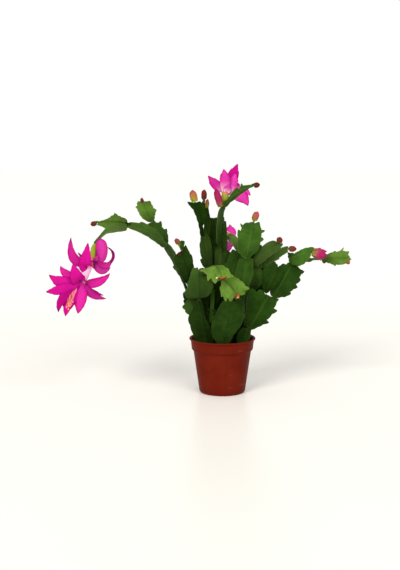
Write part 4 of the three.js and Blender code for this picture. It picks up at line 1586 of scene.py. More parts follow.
TOP = Bloom(
    "top_flower", "tall_right_2", 1.6,
    bend=(1.8, 3, 187), mouth=(6.2, 12, 194), stamens=(13.5, 31, 197),
    filaments=20, spread=2.2, pale=0.9,
    outer=(
        Petal((-13.2, 2, 199.6), 9, ((-0.5, 4, 187.5), (-7.5, 2, 191.5)), blush=0.5, cup=0.5, shade=0.72),
        Petal((0.7, -1, 205.6), 9.5, ((2, 3, 190), (2.5, 0, 198.5)), blush=0.75, cup=0.5, shade=0.95),
        Petal((23.3, 8, 171.8), 12, ((12, 8, 184), (19.5, 8, 182)), blush=0.9, cup=0.5, shade=0.95),
        Petal((25.7, 15, 180.4), 7, ((14, 14, 187), (21.5, 15, 187)), blush=0.9, cup=0.5),
        Petal((12, 7, 202), 10, ((6.5, 3, 187), (9.5, 5, 193)), blush=0.9, cup=0.5, shade=0.9),
        Petal((5, 2, 194), 7, ((4, 2, 187), (5, 1.5, 190)), Blade.SPEAR, blush=0.9, cup=0.5, shade=0.9),
    ),
    inner=(
        Petal((13.6, 10, 209.7), 10.5, ((7, 8, 192), (9, 8, 199)), blush=0.05, cup=0.6, shade=0.72),
        Petal((8, 9, 200), 10, ((6, 7, 191), (7, 8, 195)), blush=0.6, cup=0.6, shade=0.9),
        Petal((7.3, 35, 200), 9, face=None),
        Petal((12.5, 31, 194), 9, face=None),
        Petal((15.5, 22, 188.5), 8, blush=0.6, face=None),
        Petal((2, 26, 188), 8, face=None),
    ),
    girth=1.25,
)
REAR = Bloom(
    "rear_flower", "inner_stem_2", 0.0,
    bend=(5.8, 23, 142.4), mouth=(6.5, 31, 139), stamens=(9, 50, 131),
    filaments=20, spread=2.4, pale=0.5,
    outer=(
        Petal((7.2, 31, 152), 10.5, ((8.5, 28, 143.5), (8, 30, 147)), Blade.SPEAR, blush=0.8, cup=0.5),
        Petal((3.4, 29, 131), 5, ((4.5, 25, 138), (2.5, 24, 134)), blush=1.0, cup=0.5, shade=1.7),
        Petal((5.8, 27, 127), 6.5, ((6, 25, 137.5), (7.5, 26, 131.5)), blush=1.0, cup=0.5, shade=1.7),
        Petal((-2.5, 31, 141), 7, face=None),
    ),
    inner=(
        Petal((6, 48, 148), 8, face=None),
        Petal((10.5, 48, 143), 8, face=None),
        Petal((10, 47, 131), 8, face=None),
        Petal((4, 46, 131), 6, face=None),
        Petal((-3, 46, 137), 8, face=None),
        Petal((-1, 47, 143), 8, face=None),
    ),
)


# How far apart neighbours sit on the end of one segment, as a share of its half width.
NEIGHBOUR_SPACING = 0.3


def shoulder(spine: Spine, place: float) -> Vector:
    """Gives the point on a segment's end that is so many spacings to one side of its middle."""
    end, side, _ = spine.at(1)
    return end + side * (0.5 * spine.width * NEIGHBOUR_SPACING * place)


@dataclass
class Flowers:
    """The open flowers: each is a tube with petals at its waist and its mouth, grown as one."""

    finishes: Finishes
    stems: Stems
    ovary: float = 3.1 * MM
    waist: float = 2.9 * MM
    mouth: float = 4.5 * MM
    wall: float = 0.5 * MM
    clear: float = 0.4 * MM
    outer_share: float = 0.42
    inner_share: float = 0.9
    outer_run: float = 0.62
    inner_run: float = 0.3
    root_spread: float = 0.7
    first_flare: float = 0.1
    second_flare: float = 0.18
    petal_stations: int = 11
    petal_sway: float = 0.5
    petal_tones: tuple[float, float] = (0.93, 1.05)
    cup_foot: float = 0.25
    cup_swell: float = 0.9
    stamen_root: float = 0.86
    stamen_ring: float = 0.45
    stamen_bow: float = 4 * MM
    stamen_stagger: float = 0.26
    stamen_stations: int = 7
    style_share: float = 0.93
    ovary_shape: Margin = margin("0,35 5,62 12,95 20,100 28,96 36,84")
    mouth_shape: Margin = margin("55,66 70,82 82,96 92,100")
    filament: RoundBlank = RoundBlank(
        "filament_blank", 24 * MM,
        (
            (0.0, 0.0), (0.0, 0.3 * MM), (0.5, 0.26 * MM), (0.9, 0.22 * MM),
            (0.915, 0.55 * MM), (0.955, 0.75 * MM), (0.99, 0.45 * MM), (1.0, 0.0),
        ), 6, 4 * MM,
    )
    style: RoundBlank = RoundBlank(
        "style_blank", 26 * MM,
        (
            (0.0, 0.0), (0.0, 0.42 * MM), (0.5, 0.38 * MM), (0.94, 0.36 * MM),
            (0.955, 0.5 * MM), (0.98, 0.55 * MM), (1.0, 0.3 * MM), (1.0, 0.0),
        ), 8, 4 * MM,
    )

    def build(self) -> None:
        """Makes the three flowers and their stamens."""
        for bloom in (HANGING, TOP, REAR):
            line = self.tube_line(bloom)
            parts = [self.tube(bloom, line)]
            whorls = [(self.outer_share, petal) for petal in bloom.outer]
            whorls += [(self.inner_share, petal) for petal in bloom.inner]
            for number, (share, petal) in enumerate(whorls):
                parts.append(self.petal(bloom, line, petal, share, number))
            piece = Bench.joined(f"{bloom.node}_bloom", parts)
            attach(piece, BODY)
            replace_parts(piece, bloom.node)
            self.stamens(bloom, line)
            log.info("flower %s: %d petals", piece.name, len(whorls))

    def tube_line(self, bloom: Bloom) -> Line:
        """Gives the line of a flower's tube, from its carrier to its mouth."""
        start = shoulder(self.stems.spines[bloom.on], bloom.place)
        bend = metres(bloom.bend)
        end = metres(bloom.mouth)
        start = start + (bend - start).normalized() * self.clear
        return Line((start, start.lerp(bend, 2 / 3), end.lerp(bend, 2 / 3), end))

    def tube(self, bloom: Bloom, line: Line) -> Piece:
        """Turns the ovary and the open tube, and bends them to their line.

        Args:
            bloom: the flower.
            line: the tube's line.

        Returns:
            The tube, dressed.
        """
        ovary = self.ovary * bloom.girth
        radii = (
            (0.0, 0.0),
            *((share, size * ovary) for share, size in self.ovary_shape),
            (0.42, self.waist * bloom.girth),
            *((share, size * self.mouth) for share, size in self.mouth_shape),
            *((share, size * self.mouth - self.wall) for share, size in reversed(self.mouth_shape[1:])),
            (0.6, 0.5 * self.mouth),
            (0.58, 0.0),
        )
        piece = RoundBlank(f"{bloom.node}_tube", line.length(), radii, 20).bent(f"{bloom.node}_tube", line)
        dress(piece, self.finishes.tube, tone=1.0)
        return piece

    def petal(
        self, bloom: Bloom, line: Line, petal: Petal, share: float, number: int
    ) -> Piece:
        """Lays one petal from the tube out to its tip.

        Args:
            bloom: the flower.
            line: the tube's line.
            petal: where it ends and how it is shaped.
            share: where on the tube it leaves.
            number: its number in the flower, which settles its small unevenness.

        Returns:
            The petal, dressed.
        """
        blade = petal.blade.value
        chance = random.Random(f"{bloom.node}{number}")
        forward = line.forward(share)
        root = line.at(share)
        end = metres(petal.tip)
        out = (metres(petal.handles[0]) if petal.handles else end) - root
        out = (out - forward * out.dot(forward)).normalized()
        start = root + out * (self.root_spread * self.mouth)
        reach = (end - start).length
        run = self.outer_run if share == self.outer_share else self.inner_run
        first = start + forward * (run * reach) + out * (self.first_flare * reach)
        second = first.lerp(end, 0.5) + out * (self.second_flare * reach)
        if petal.handles:
            first, second = (metres(handle) for handle in petal.handles)
        curve = Line((start, first, second, end))
        stations = []
        sway = chance.uniform(-self.petal_sway, self.petal_sway)
        side = out.cross(forward)
        look = Vector(petal.face or FRONT)
        if sum(curve.forward(at).cross(look).dot(side) for at in evenly(9)) < 0:
            look = -look
        for at in evenly(self.petal_stations):
            ahead = curve.forward(at)
            side = out.cross(forward)
            if petal.face:
                side = side.lerp(ahead.cross(look).normalized(), min(1.0, 3 * at))
            side = (side - ahead * side.dot(ahead)).normalized()
            facing = side.cross(ahead).normalized()
            cup = petal.cup * MM * (self.cup_foot + self.cup_swell * math.sin(math.pi * at))
            wave = sway * MM * math.sin(math.tau * at + number)
            half = 0.5 * petal.width * MM
            stations.append(Station(curve.at(at), side, facing, half, 0.5 * blade.depth, cup, wave))
        piece = blade.laid(f"{bloom.node}_petal_{number}", stations)
        # Painted light and shade: the petal's shade makes the whole petal lighter or darker for the light
        # that falls on it.
        tone = chance.uniform(*self.petal_tones) * petal.shade
        dress(piece, self.finishes.petal, tone=tone, pale=bloom.pale, blush=petal.blush)
        return piece

    def stamens(self, bloom: Bloom, tube: Line) -> None:
        """Makes a flower's bundle of filaments round its style."""
        chance = random.Random(bloom.node)
        root = tube.at(self.stamen_root)
        forward = tube.forward(1)
        end = metres(bloom.stamens)
        side, up = turned_side((end - root).normalized(), Vector((0, 0, 1)))
        parts = []
        for number in range(bloom.filaments):
            angle = math.tau * number / bloom.filaments + chance.uniform(-0.2, 0.2)
            ring = math.sqrt(chance.uniform(0.1, 1.0))
            aside = (side * math.cos(angle) + up * math.sin(angle)) * ring
            start = root + aside * (self.stamen_ring * self.mouth)
            short = chance.uniform(0.0, self.stamen_stagger)
            tip = end + aside * (bloom.spread * MM) - (end - root) * short
            middle = start.lerp(tip, 0.45) + forward * self.stamen_bow + metres(bloom.sag)
            middle += aside * (0.8 * MM)
            curve = Line((start, start.lerp(middle, 0.8), middle.lerp(tip, 0.4), tip))
            parts.append(self.filament.bent(f"filament_{number}", curve, self.stamen_stations))
        tip = root.lerp(end, self.style_share)
        curve = Line((root, root.lerp(tip, 0.35) + forward * MM, root.lerp(tip, 0.7) + up * MM, tip))
        parts.append(self.style.bent("style", curve, self.stamen_stations))
        piece = Bench.joined(f"{bloom.node}_stamen_bundle", parts)
        dress(piece, self.finishes.filament, tone=1.0)
        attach(piece, BODY)
        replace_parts(piece, f"{bloom.node}_stamens")


# ---- Buds ----


@dataclass(frozen=True)
class Bud:
    """One bud: its carrier and where it sits there, its point and radius in millimetres.

    open_by is how far its scales stand off and stalk how much of its length is stalk. A foot is
    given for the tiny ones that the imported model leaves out.
    """

    node: str
    on: str
    place: float
    tip: Point
    radius: float
    skin: BudSkin
    tone: float = 1.0
    open_by: float = 0.0
    stalk: float = 0.0
    foot: Point | None = None


BUDS = (
    Bud("bud_tall_left", "tall_left_2", 0, (-27.4, -9, 187.4), 3.35, BudSkin.SALMON, 0.85),
    Bud("bud_tall_middle", "tall_left_3", -1, (-16.6, 1, 187), 2.5, BudSkin.DARK, 1.25, 0, 0.28),
    Bud("bud_beside_flower", "tall_right_2", -1.8, (-6.3, -8, 188.2), 3.1, BudSkin.OPENING, 0.55, 0.1),
    Bud("bud_twig_end", "tall_right_3", 0, (33, -10, 192.5), 2.4, BudSkin.DARK, 0.9),
    Bud("bud_broad_segment", "middle_stem_3", 0, (31.2, -13, 168.4), 3.0, BudSkin.ROSY, 0.9, 0, 0.14),
    Bud("bud_fork_upper", "fork_3", 0, (51.3, -15, 145.8), 2.7, BudSkin.DARK, 1.25, 0, 0.1),
    Bud("bud_fork_lower", "fork_4", 0, (67, -3, 133.6), 2.7, BudSkin.DARK, 1.5, 0, 0.12),
    Bud("bud_arm_side", "arm_side", 0, (-42.4, -5, 143.3), 2.3, BudSkin.ROSY, 0.6, 0, 0.5),
    Bud("bud_arm_fork", "arm_fork", 0, (-119.6, -4.5, 155.9), 2.2, BudSkin.DARK, 1.15, 0, 0.1),
    Bud("bud_low_column", "", 0, (-13.7, -2, 178.7), 1.7, BudSkin.SALMON, 0.5, foot=(-14.4, 0, 170.8)),
    Bud("bud_arm_crown", "", 0, (-73.8, 8, 179), 1.5, BudSkin.DARK, 1.2, foot=(-73.1, 8, 174)),
    Bud("bud_arm_notch", "", 0, (-40.1, -6, 130.8), 1.2, BudSkin.DARK, 0.7, foot=(-38.5, -5, 127.8)),
    Bud("bud_twig_corner", "", 0, (115.4, -1.5, 119.2), 1.7, BudSkin.ROSY, 0.8, foot=(113.7, -1, 123)),
    Bud("bud_opening", "right_twig_1", 0, (93.4, -10, 129.2), 4.5, BudSkin.OPENING, 0.6, 0.6),
)


@dataclass(frozen=True)
class Whorl:
    """One round of a bud's scales.

    span is the run of the bud that they cover and turn where the first one sits; proud is how far
    they stand off the heart and opening how fully they part as the bud opens.
    """

    span: tuple[float, float]
    turn: float
    proud: float
    opening: float


@dataclass
class Buds:
    """The buds: each is a turned heart wrapped in overlapping scales, grown as one."""

    finishes: Finishes
    stems: Stems
    clear: float = 0.4 * MM
    heart: float = 0.92
    snug: float = 0.94
    curl: float = 0.62
    open_curl: float = 0.2
    whorls: tuple[Whorl, ...] = (
        Whorl((0.02, 0.62), turn=0.4, proud=0.22 * MM, opening=0.6),
        Whorl((0.2, 1.02), turn=1.18, proud=0.06 * MM, opening=1.0),
    )
    scales: int = 4
    scale_half: float = 0.92
    scale_stations: int = 7
    shape: Margin = margin("0,30 12,55 30,88 48,100 66,90 82,60 93,30 100,5")
    scale_blank: PetalBlank = PetalBlank(
        "bud_scale_blank", margin("0,70 30,100 60,95 82,62 94,26 100,5"),
        columns=6, rows=10, thickness=0.3 * MM,
    )

    def build(self) -> None:
        """Makes every bud."""
        for bud in BUDS:
            piece = self.make(bud)
            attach(piece, BODY)
            if bud.foot is None:
                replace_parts(piece, bud.node)
            log.info("bud %s", piece.name)

    def make(self, bud: Bud) -> Piece:
        """Turns a bud's heart and wraps its scales round it.

        Args:
            bud: the bud.

        Returns:
            The bud, dressed.
        """
        end = metres(bud.tip)
        if bud.foot is None:
            start = shoulder(self.stems.spines[bud.on], bud.place)
            start = start + (end - start).normalized() * self.clear
        else:
            start = metres(bud.foot)
        line = Line.bowed(start.lerp(end, bud.stalk), end, Vector((0, 0, 0)))
        girth = self.heart * (bud.radius * MM)
        radii = ((0.0, 0.0), *((share, girth * size) for share, size in self.shape), (1.0, 0.0))
        heart = RoundBlank(f"{bud.node}_heart", line.length(), radii, 16, 14 * MM)
        parts = [heart.bent(f"{bud.node}_heart", line, 3)]
        side, up = turned_side(line.forward(0.5), Vector((0, -1, 0.2)))
        for number in range(self.scales * len(self.whorls)):
            parts.append(self.scale(bud, line, side, up, number))
        if bud.stalk:
            parts.append(self.stalk(bud, start, line.at(0.12)))
        whole = Bench.joined(f"{bud.node}_scales", parts)
        dress(whole, self.finishes.buds[bud.skin], tone=bud.tone)
        return whole

    @staticmethod
    def stalk(bud: Bud, foot: Vector, top: Vector) -> Piece:
        """Turns the short green stalk under a bud."""
        girth = 0.42 * bud.radius * MM
        swell = margin("0,80 40,100 80,110 100,130")
        radii = ((0.0, 0.0), *((share, size * girth) for share, size in swell), (1.0, 0.0))
        blank = RoundBlank(f"{bud.node}_stalk", (top - foot).length, radii, 10, 8 * MM)
        piece = blank.bent(f"{bud.node}_stalk", Line.bowed(foot, top, Vector((0.4 * MM, 0, 0))), 3)
        dress(piece, None, along=0.0)
        return piece

    def scale(self, bud: Bud, line: Line, side: Vector, up: Vector, number: int) -> Piece:
        """Wraps one scale over the bud's heart.

        Args:
            bud: the bud.
            line: the bud's middle line.
            side: a direction across the bud.
            up: the other direction across it.
            number: the scale's number, counted through the whorls from the lowest up.

        Returns:
            The scale in its place.
        """
        whorl = self.whorls[number // self.scales]
        angle = math.tau * (number % self.scales) / self.scales + whorl.turn
        out = side * math.cos(angle) + up * math.sin(angle)
        turn = line.forward(0.5).cross(out).normalized()
        first, last = whorl.span
        stations = []
        for at in evenly(self.scale_stations):
            share = first + (last - first) * at
            girth = read_off(self.shape, share) * bud.radius * MM
            spread = bud.open_by * bud.radius * MM * at * at * whorl.opening
            place = line.beyond(share) + out * (self.snug * girth + spread + whorl.proud)
            half = self.scale_half * bud.radius * MM
            wrap = -self.curl * girth - self.open_curl * spread
            stations.append(Station(place, turn, out, half, 0.5 * self.scale_blank.depth, wrap))
        piece = self.scale_blank.laid(f"{bud.node}_scale_{number}", stations)
        along = [first + (last - first) * item.value for item in piece.data.attributes["along"].data]
        mark(piece.data, "along", along)
        return piece


# ---- Pot and soil ----


@dataclass
class Pot:
    """The moulded plastic pot: lip, band, tapered body, foot ring, drain gutter and holes."""

    finishes: Finishes
    height: float = 51 * MM
    lip_radius: float = 30.5 * MM
    lip_height: float = 1.6 * MM
    band_top: float = 29.1 * MM
    band_bottom: float = 28.2 * MM
    band_height: float = 10.5 * MM
    body_top: float = 26.8 * MM
    base_radius: float = 21 * MM
    rounding: float = 1.8 * MM
    wall: float = 1.1 * MM
    floor: float = 1.4 * MM
    foot_inner: float = 8 * MM
    foot_outer: float = 15 * MM
    recess: float = 1.0 * MM
    hole_radius: float = 2.2 * MM
    hole_circle: float = 11.5 * MM
    holes: int = 5
    drill_depth: float = 8 * MM
    sides: int = 96
    edge_round: float = 0.22 * MM
    sharp_edge: float = 28

    def body_radius(self, level: float) -> float:
        """Gives the outer radius of the plain body at a height."""
        return between(self.base_radius, self.body_top, level / (self.height - self.band_height))

    def profile(self) -> list[Point]:
        """Gives the pot's section, from the middle of its underside round to its inner floor."""
        band = self.height - self.band_height
        lip = self.height - self.lip_height
        inside = self.recess + self.floor
        neck = band - 2.2 * MM
        floor_edge = self.body_radius(self.floor) - self.wall
        corner = ((1, 0), (0.62, 0.1), (0.25, 0.35), (0.02, 0.66))
        radii = [
            (0, 0),
            (self.foot_inner, 0),
            (self.foot_inner + 0.3 * MM, self.recess),
            (self.foot_outer - 0.3 * MM, self.recess),
            (self.foot_outer, 0),
            *((self.base_radius - inset * self.rounding, rise * self.rounding) for inset, rise in corner),
            (self.body_radius(self.rounding), self.rounding),
            (self.body_radius(0.5 * band), 0.5 * band),
            (self.body_radius(neck), neck),
            (self.body_radius(band) + 0.1 * MM, band - 1.0 * MM),
            (self.band_bottom - 0.5 * MM, band - 0.5 * MM),
            (self.band_bottom, band),
            (self.band_top, lip - 0.6 * MM),
            (self.band_top + 0.4 * MM, lip - 0.1 * MM),
            (self.lip_radius - 0.3 * MM, lip + 0.15 * MM),
            (self.lip_radius, lip + 0.5 * MM),
            (self.lip_radius, self.height - 0.5 * MM),
            (self.lip_radius - 0.4 * MM, self.height - 0.1 * MM),
            (self.lip_radius - 1.0 * MM, self.height),
            (self.band_top - 0.2 * MM, self.height - 0.15 * MM),
            (self.band_top - self.wall, self.height - 0.9 * MM),
            (self.band_bottom - self.wall, band + MM),
            (self.body_radius(band) - self.wall, band - MM),
            (floor_edge, inside + MM),
            (floor_edge - 1.2 * MM, inside),
            (0, inside),
        ]
        return [(radius, 0, level) for radius, level in radii]

    def build(self) -> None:
        """Spins the pot, opens its drain holes and dresses it."""
        pot = Bench.spun("flower_pot", self.profile(), (0, 0, 1), self.sides)
        sharp = math.radians(self.sharp_edge)
        Bench.apply(
            pot, "BEVEL", width=self.edge_round, segments=2, limit_method="ANGLE", angle_limit=sharp
        )
        for number in range(self.holes):
            angle = math.tau * (number + 0.5) / self.holes
            drill = Bench.start(
                f"drain_drill_{number}", bpy.ops.mesh.primitive_cylinder_add,
                polar(self.hole_circle, angle), vertices=24, radius=self.hole_radius,
                depth=self.drill_depth,
            )
            Bench.apply(pot, "BOOLEAN", operation="DIFFERENCE", solver="EXACT", object=drill)
            bpy.data.objects.remove(drill)
        pot.data.materials.clear()
        dress(pot, self.finishes.pot)
        Bench.smooth(pot, 35)
        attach(pot, BODY)
        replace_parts(pot, "pot")
        log.info("pot: %.0f mm high, %d drain holes", self.height / MM, self.holes)


@dataclass
class Soil:
    """The root ball with its rough top, loose crumbs and dry rootlets."""

    finishes: Finishes
    pot: Pot
    top: float = 45 * MM
    dome: float = 1.2 * MM
    clear: float = 0.4 * MM
    rings: int = 26
    sides: int = 84
    crumbs: int = 340
    crumb_reach: float = 26 * MM
    crumb_sizes: tuple[float, ...] = (0.35, 0.5, 0.6, 0.8, 1.1)
    lumps: Margin = ((5 * MM, 2.4 * MM), (1.6 * MM, 1.3 * MM))
    rootlets: int = 16
    front_rootlets: int = 10
    front_arc: tuple[float, float] = (232, 305)
    rootlet_ring: tuple[float, float] = (17, 24.5)
    rootlet_run: tuple[float, float] = (5, 11)
    reach: float = 25 * MM
    rootlet_blank: RoundBlank = RoundBlank(
        "rootlet_blank", 20 * MM,
        ((0.0, 0.0), (0.0, 0.3 * MM), (0.5, 0.24 * MM), (1.0, 0.12 * MM), (1.0, 0.0)), 6, 4 * MM,
    )

    def build(self) -> None:
        """Makes the root ball, its crumbs and its rootlets."""
        soil = Bench.joined("soil_surface", [self.ball()] + self.loose_crumbs())
        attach(soil, BODY)
        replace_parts(soil, "soil")
        roots = self.dry_rootlets()
        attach(roots, BODY)
        log.info("soil: %d crumbs, %d rootlets", self.crumbs, self.rootlets)

    def surface(self, radius: float) -> float:
        """Gives the height of the soil at a distance from the middle."""
        edge = self.pot.band_bottom - self.pot.wall
        return self.top + self.dome * (1 - (radius / edge) ** 2)

    def ball(self) -> Piece:
        """Spins the root ball and roughens its top.

        Returns:
            The root ball, dressed.
        """
        gap = self.pot.wall + self.clear
        band = self.pot.height - self.pot.band_height
        inside = self.pot.recess + self.pot.floor + self.clear
        edge = self.pot.band_bottom - gap + 0.3 * MM
        profile = [
            (0, 0, inside),
            (self.pot.body_radius(self.pot.floor) - gap - 1.2 * MM, 0, inside),
            (self.pot.body_radius(self.pot.floor) - gap, 0, inside + MM),
            (self.pot.body_radius(band) - gap - 0.2 * MM, 0, band - MM),
            (edge, 0, band + 1.5 * MM),
        ]
        for ring in range(self.rings + 1):
            radius = edge * (1 - ring / self.rings)
            profile.append((radius, 0, self.surface(radius) - (1.5 * MM if ring == 0 else 0)))
        ball = Bench.spun("root_ball", profile, (0, 0, 1), self.sides)
        upper = [corner.index for corner in ball.data.vertices if corner.co.z > self.top - 0.1 * MM]
        ball.vertex_groups.new(name="top").add(upper, 1.0, "REPLACE")
        for size, height in self.lumps:
            pattern = bpy.data.textures.new("soil_lumps", "CLOUDS")
            pattern.noise_scale = size
            Bench.apply(
                ball, "DISPLACE", texture=pattern, texture_coords="LOCAL", strength=height,
                mid_level=0.55, vertex_group="top",
            )
            bpy.data.textures.remove(pattern)
        dress(ball, self.finishes.soil)
        Bench.smooth(ball, 60)
        return ball

    def loose_crumbs(self) -> list[Piece]:
        """Strews small lumps over the top.

        Returns:
            The lumps, each with a mesh of its own.
        """
        lump = Bench.start("crumb_blank", bpy.ops.mesh.primitive_ico_sphere_add, subdivisions=1, radius=MM)
        with Bench.editing(lump):
            Bench.pick(lump, lambda co: co.x > 0.2 * MM)
            bpy.ops.transform.translate(value=(0.35 * MM, 0.2 * MM, 0))
            Bench.pick(lump, lambda co: co.z > 0.3 * MM)
            bpy.ops.transform.resize(value=(0.7, 0.8, 0.7))
        dress(lump, self.finishes.soil)
        Bench.smooth(lump, 80)
        blank = Bench.keep_mesh(lump)
        chance = random.Random(7)
        lumps = []
        for number in range(self.crumbs):
            radius = self.crumb_reach * math.sqrt(chance.random())
            angle = chance.uniform(0, math.tau)
            size = chance.choice(self.crumb_sizes)
            place = polar(radius, angle, self.surface(radius) + chance.uniform(-0.2, 0.6) * MM)
            spin = Euler([chance.uniform(0, math.tau) for _ in range(3)]).to_matrix().to_4x4()
            stretch = Matrix.Diagonal((size * chance.uniform(0.8, 1.5), size, size * 0.8, 1))
            piece = Bench.copy_of(blank, f"crumb_{number}")
            piece.data.transform(Matrix.Translation(place) @ spin @ stretch)
            lumps.append(piece)
        return lumps

    def dry_rootlets(self) -> Piece:
        """Lays thin pale rootlets over the soil, most of them at the front.

        Returns:
            The rootlets, joined.
        """
        chance = random.Random(11)
        strands = []
        for number in range(self.rootlets):
            span = self.front_arc if number < self.front_rootlets else (0, 360)
            angle = math.radians(chance.uniform(*span))
            radius = chance.uniform(*self.rootlet_ring) * MM
            start = polar(radius, angle, self.top + 0.3 * MM)
            heading = chance.uniform(0, math.tau)
            run = chance.uniform(*self.rootlet_run) * MM
            end = start + Vector((math.cos(heading), 0.6 * math.sin(heading), 0)) * run
            if end.xy.length > self.reach:
                end.xy = end.xy.normalized() * self.reach
            rise = Vector((0, 0, chance.uniform(0.5, 3.2) * MM))
            sway = Vector((chance.uniform(-2, 2), chance.uniform(-2, 2), 0)) * MM
            first = start.lerp(end, 0.3) + rise * 1.4 + sway
            curve = Line((start, first, start.lerp(end, 0.7) + rise, end))
            strands.append(self.rootlet_blank.bent(f"rootlet_{number}", curve))
        rootlets = Bench.joined("rootlets", strands)
        dress(rootlets, self.finishes.rootlet)
        return rootlets


# ---- Areoles ----


@dataclass
class Areoles:
    """The woolly cushions with short bristles that sit on the ends of the larger segments."""

    finishes: Finishes
    stems: Stems
    cushion: float = 0.8 * MM
    stretch: Point = (1.2, 0.85, 0.9)
    seat: float = 0.985
    bristle: float = 1.6 * MM
    bristle_radius: float = 0.09 * MM
    bristles: int = 8
    lean: float = 35
    swing: float = 55

    def build(self) -> None:
        """Sets a cushion on the end of every packed segment, and dry ones on the drooping pair."""
        blank = self.blank()
        tufts = []
        for growth in GROWTHS:
            spine = self.stems.spines[growth.node]
            size = 1.0 + 0.02 * (spine.width / MM - 12)
            tufts.append(self.tuft(blank, spine, (0, 0, 0), size, self.finishes.wool))
        for node, shift, size, finish in (
            ("drooping_1", (2.6, -0.4, 1.4), 1.7, self.finishes.scab),
            ("drooping_1", (0, -0.2, 1.6), 2.1, self.finishes.scab),
            ("drooping_1", (-2.6, -0.6, 1.4), 1.9, self.finishes.scab),
            ("drooping_1", (4.4, -1.2, 1.2), 1.3, self.finishes.felt),
            ("drooping_2", (0, -0.6, 1.4), 2.7, self.finishes.scab),
            ("drooping_2", (0.6, 0.6, 2.8), 1.5, self.finishes.straw),
        ):
            tufts.append(self.tuft(blank, self.stems.spines[node], shift, size, finish))
        whole = Bench.joined("areoles", tufts)
        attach(whole, BODY)
        log.info("areoles: %d", len(tufts))

    def tuft(
        self, blank: Mesh, spine: Spine, shift: Point, size: float, finish: Material
    ) -> Piece:
        """Sets one cushion on a segment's end.

        Args:
            blank: the cushion's blank.
            spine: the segment's line.
            shift: how far it sits off the end's middle, sideways, forwards and outwards, in millimetres.
            size: how much larger than the blank it is.
            finish: its finish.

        Returns:
            The cushion in its place.
        """
        place, side, forward = spine.at(self.seat)
        facing = side.cross(forward).normalized()
        turned = Matrix((side, forward, facing)).transposed().to_4x4()
        stretch = Matrix.Diagonal((*(size * share for share in self.stretch), 1))
        piece = Bench.copy_of(blank, "areole")
        carried = Matrix.Translation(place) @ turned @ Matrix.Translation(metres(shift))
        piece.data.transform(carried @ stretch)
        piece.data.materials[0] = finish
        return piece

    def blank(self) -> Mesh:
        """Shapes one cushion with its bristles pointing along +Y.

        Returns:
            The finished blank's mesh.
        """
        sphere = bpy.ops.mesh.primitive_ico_sphere_add
        cushion = Bench.start("areole_cushion", sphere, subdivisions=2, radius=self.cushion)
        chance = random.Random(3)
        with Bench.editing(cushion):
            Bench.pick(cushion, lambda co: co.y > 0)
            bpy.ops.transform.resize(value=(1.1, 0.7, 0.9), center_override=(0, 0, 0))
            bpy.ops.mesh.select_all(action="SELECT")
            bpy.ops.transform.vertex_random(offset=0.12 * MM, seed=4)
        parts = [cushion]
        for number in range(self.bristles):
            length = self.bristle * chance.uniform(0.6, 1.2)
            hair = Bench.start(
                f"bristle_{number}", bpy.ops.mesh.primitive_cone_add,
                vertices=4, radius1=self.bristle_radius, radius2=0, depth=length,
            )
            lean = math.radians(-90 + chance.uniform(-self.lean, self.lean))
            swing = math.radians(chance.uniform(-self.swing, self.swing))
            turned = Matrix.Rotation(swing, 4, "Z") @ Matrix.Rotation(lean, 4, "X")
            hair.data.transform(turned @ Matrix.Translation((0, 0, 0.5 * length)))
            parts.append(hair)
        piece = Bench.joined("areole_blank", parts)
        piece.data.materials.clear()
        dress(piece, self.finishes.wool)
        Bench.smooth(piece, 60)
        return Bench.keep_mesh(piece)


# ---- The studio ----


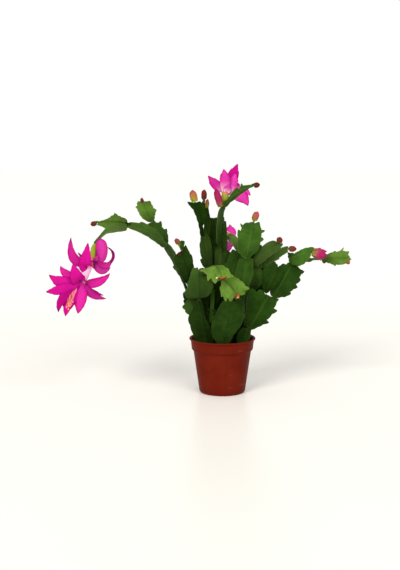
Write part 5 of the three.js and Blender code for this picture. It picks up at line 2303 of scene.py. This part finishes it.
@dataclass(frozen=True)
class Studio:
    """The plain pale floor, the soft lights and the camera."""

    floor_size: float = 6.0
    camera_place: Point = (-0.0206, -1.1358, 0.2797)
    camera_pitch: float = 81.0
    lens: float = 79.3
    sensor: float = 36
    room_light: float = 0.6
    room_tint: Colour = (1.0, 0.995, 0.985)
    lamp_tint: Colour = (1.0, 0.98, 0.94)
    lamps: tuple[tuple[str, Point, float, float], ...] = (
        ("left", (-0.48, -0.87, 0.66), 2.05, 24),
        ("right", (0.46, -0.89, 0.66), 1.6, 40),
    )

    def build(self, finishes: Finishes) -> None:
        """Sets up the floor, the lights and the camera."""
        self.floor(finishes)
        for lamp in self.lamps:
            self.sun(*lamp)
        self.world()
        self.camera()

    def floor(self, finishes: Finishes) -> None:
        """Lays the plain flat floor."""
        plate = bpy.ops.mesh.primitive_grid_add
        floor = Bench.start("studio_floor", plate, x_subdivisions=2, y_subdivisions=2, size=self.floor_size)
        dress(floor, finishes.floor)

    def sun(self, name: str, place: Point, power: float, softness: float) -> None:
        """Hangs one broad, soft, even light.

        Args:
            name: the light's name.
            place: the direction that it comes from.
            power: its strength.
            softness: how broad it looks, in degrees.
        """
        bpy.ops.object.select_all(action="DESELECT")
        bpy.ops.object.light_add(type="SUN", location=place)
        lamp = bpy.context.view_layer.objects.active
        lamp.name = f"{name}_light"
        lamp.data.energy = power
        lamp.data.angle = math.radians(softness)
        lamp.data.color = self.lamp_tint
        lamp.rotation_euler = (-Vector(place)).to_track_quat("-Z", "Y").to_euler()

    def world(self) -> None:
        """Fills the room with even, nearly white light, before a plain white backdrop."""
        bpy.context.scene.world = bpy.data.worlds.new("studio_room")
        w = Wiring(bpy.context.scene.world)
        room = w.tree.nodes["Background"]
        w.feed(room.inputs["Color"], self.room_tint)
        w.feed(room.inputs["Strength"], self.room_light)
        backdrop = w.add("ShaderNodeBackground", {"Color": (1, 1, 1)})
        seen = w.add("ShaderNodeLightPath").outputs["Is Camera Ray"]
        inputs = {"Fac": seen, 1: room.outputs["Background"], 2: backdrop.outputs["Background"]}
        either = w.add("ShaderNodeMixShader", inputs)
        w.feed(w.tree.nodes["World Output"].inputs["Surface"], either.outputs["Shader"])
        bpy.context.scene.view_settings.view_transform = "Standard"

    def camera(self) -> None:
        """Sets the camera at the front, a little above the plant's middle."""
        bpy.ops.object.select_all(action="DESELECT")
        bpy.ops.object.camera_add(location=self.camera_place)
        camera = bpy.context.view_layer.objects.active
        camera.rotation_euler = Euler((math.radians(self.camera_pitch), 0, 0))
        camera.data.lens = self.lens
        camera.data.sensor_width = self.sensor
        camera.data.sensor_fit = "AUTO"
        bpy.context.scene.camera = camera


def main() -> None:
    """Builds the plant, its pot and the studio."""
    logging.basicConfig(level=logging.INFO, format="%(name)s: %(message)s")
    finishes = Finishes()
    stems = Stems(finishes)
    stems.build()
    Flowers(finishes, stems).build()
    Buds(finishes, stems).build()
    Areoles(finishes, stems).build()
    pot = Pot(finishes)
    pot.build()
    Soil(finishes, pot).build()
    Studio().build(finishes)


if __name__ == "__main__":
    main()
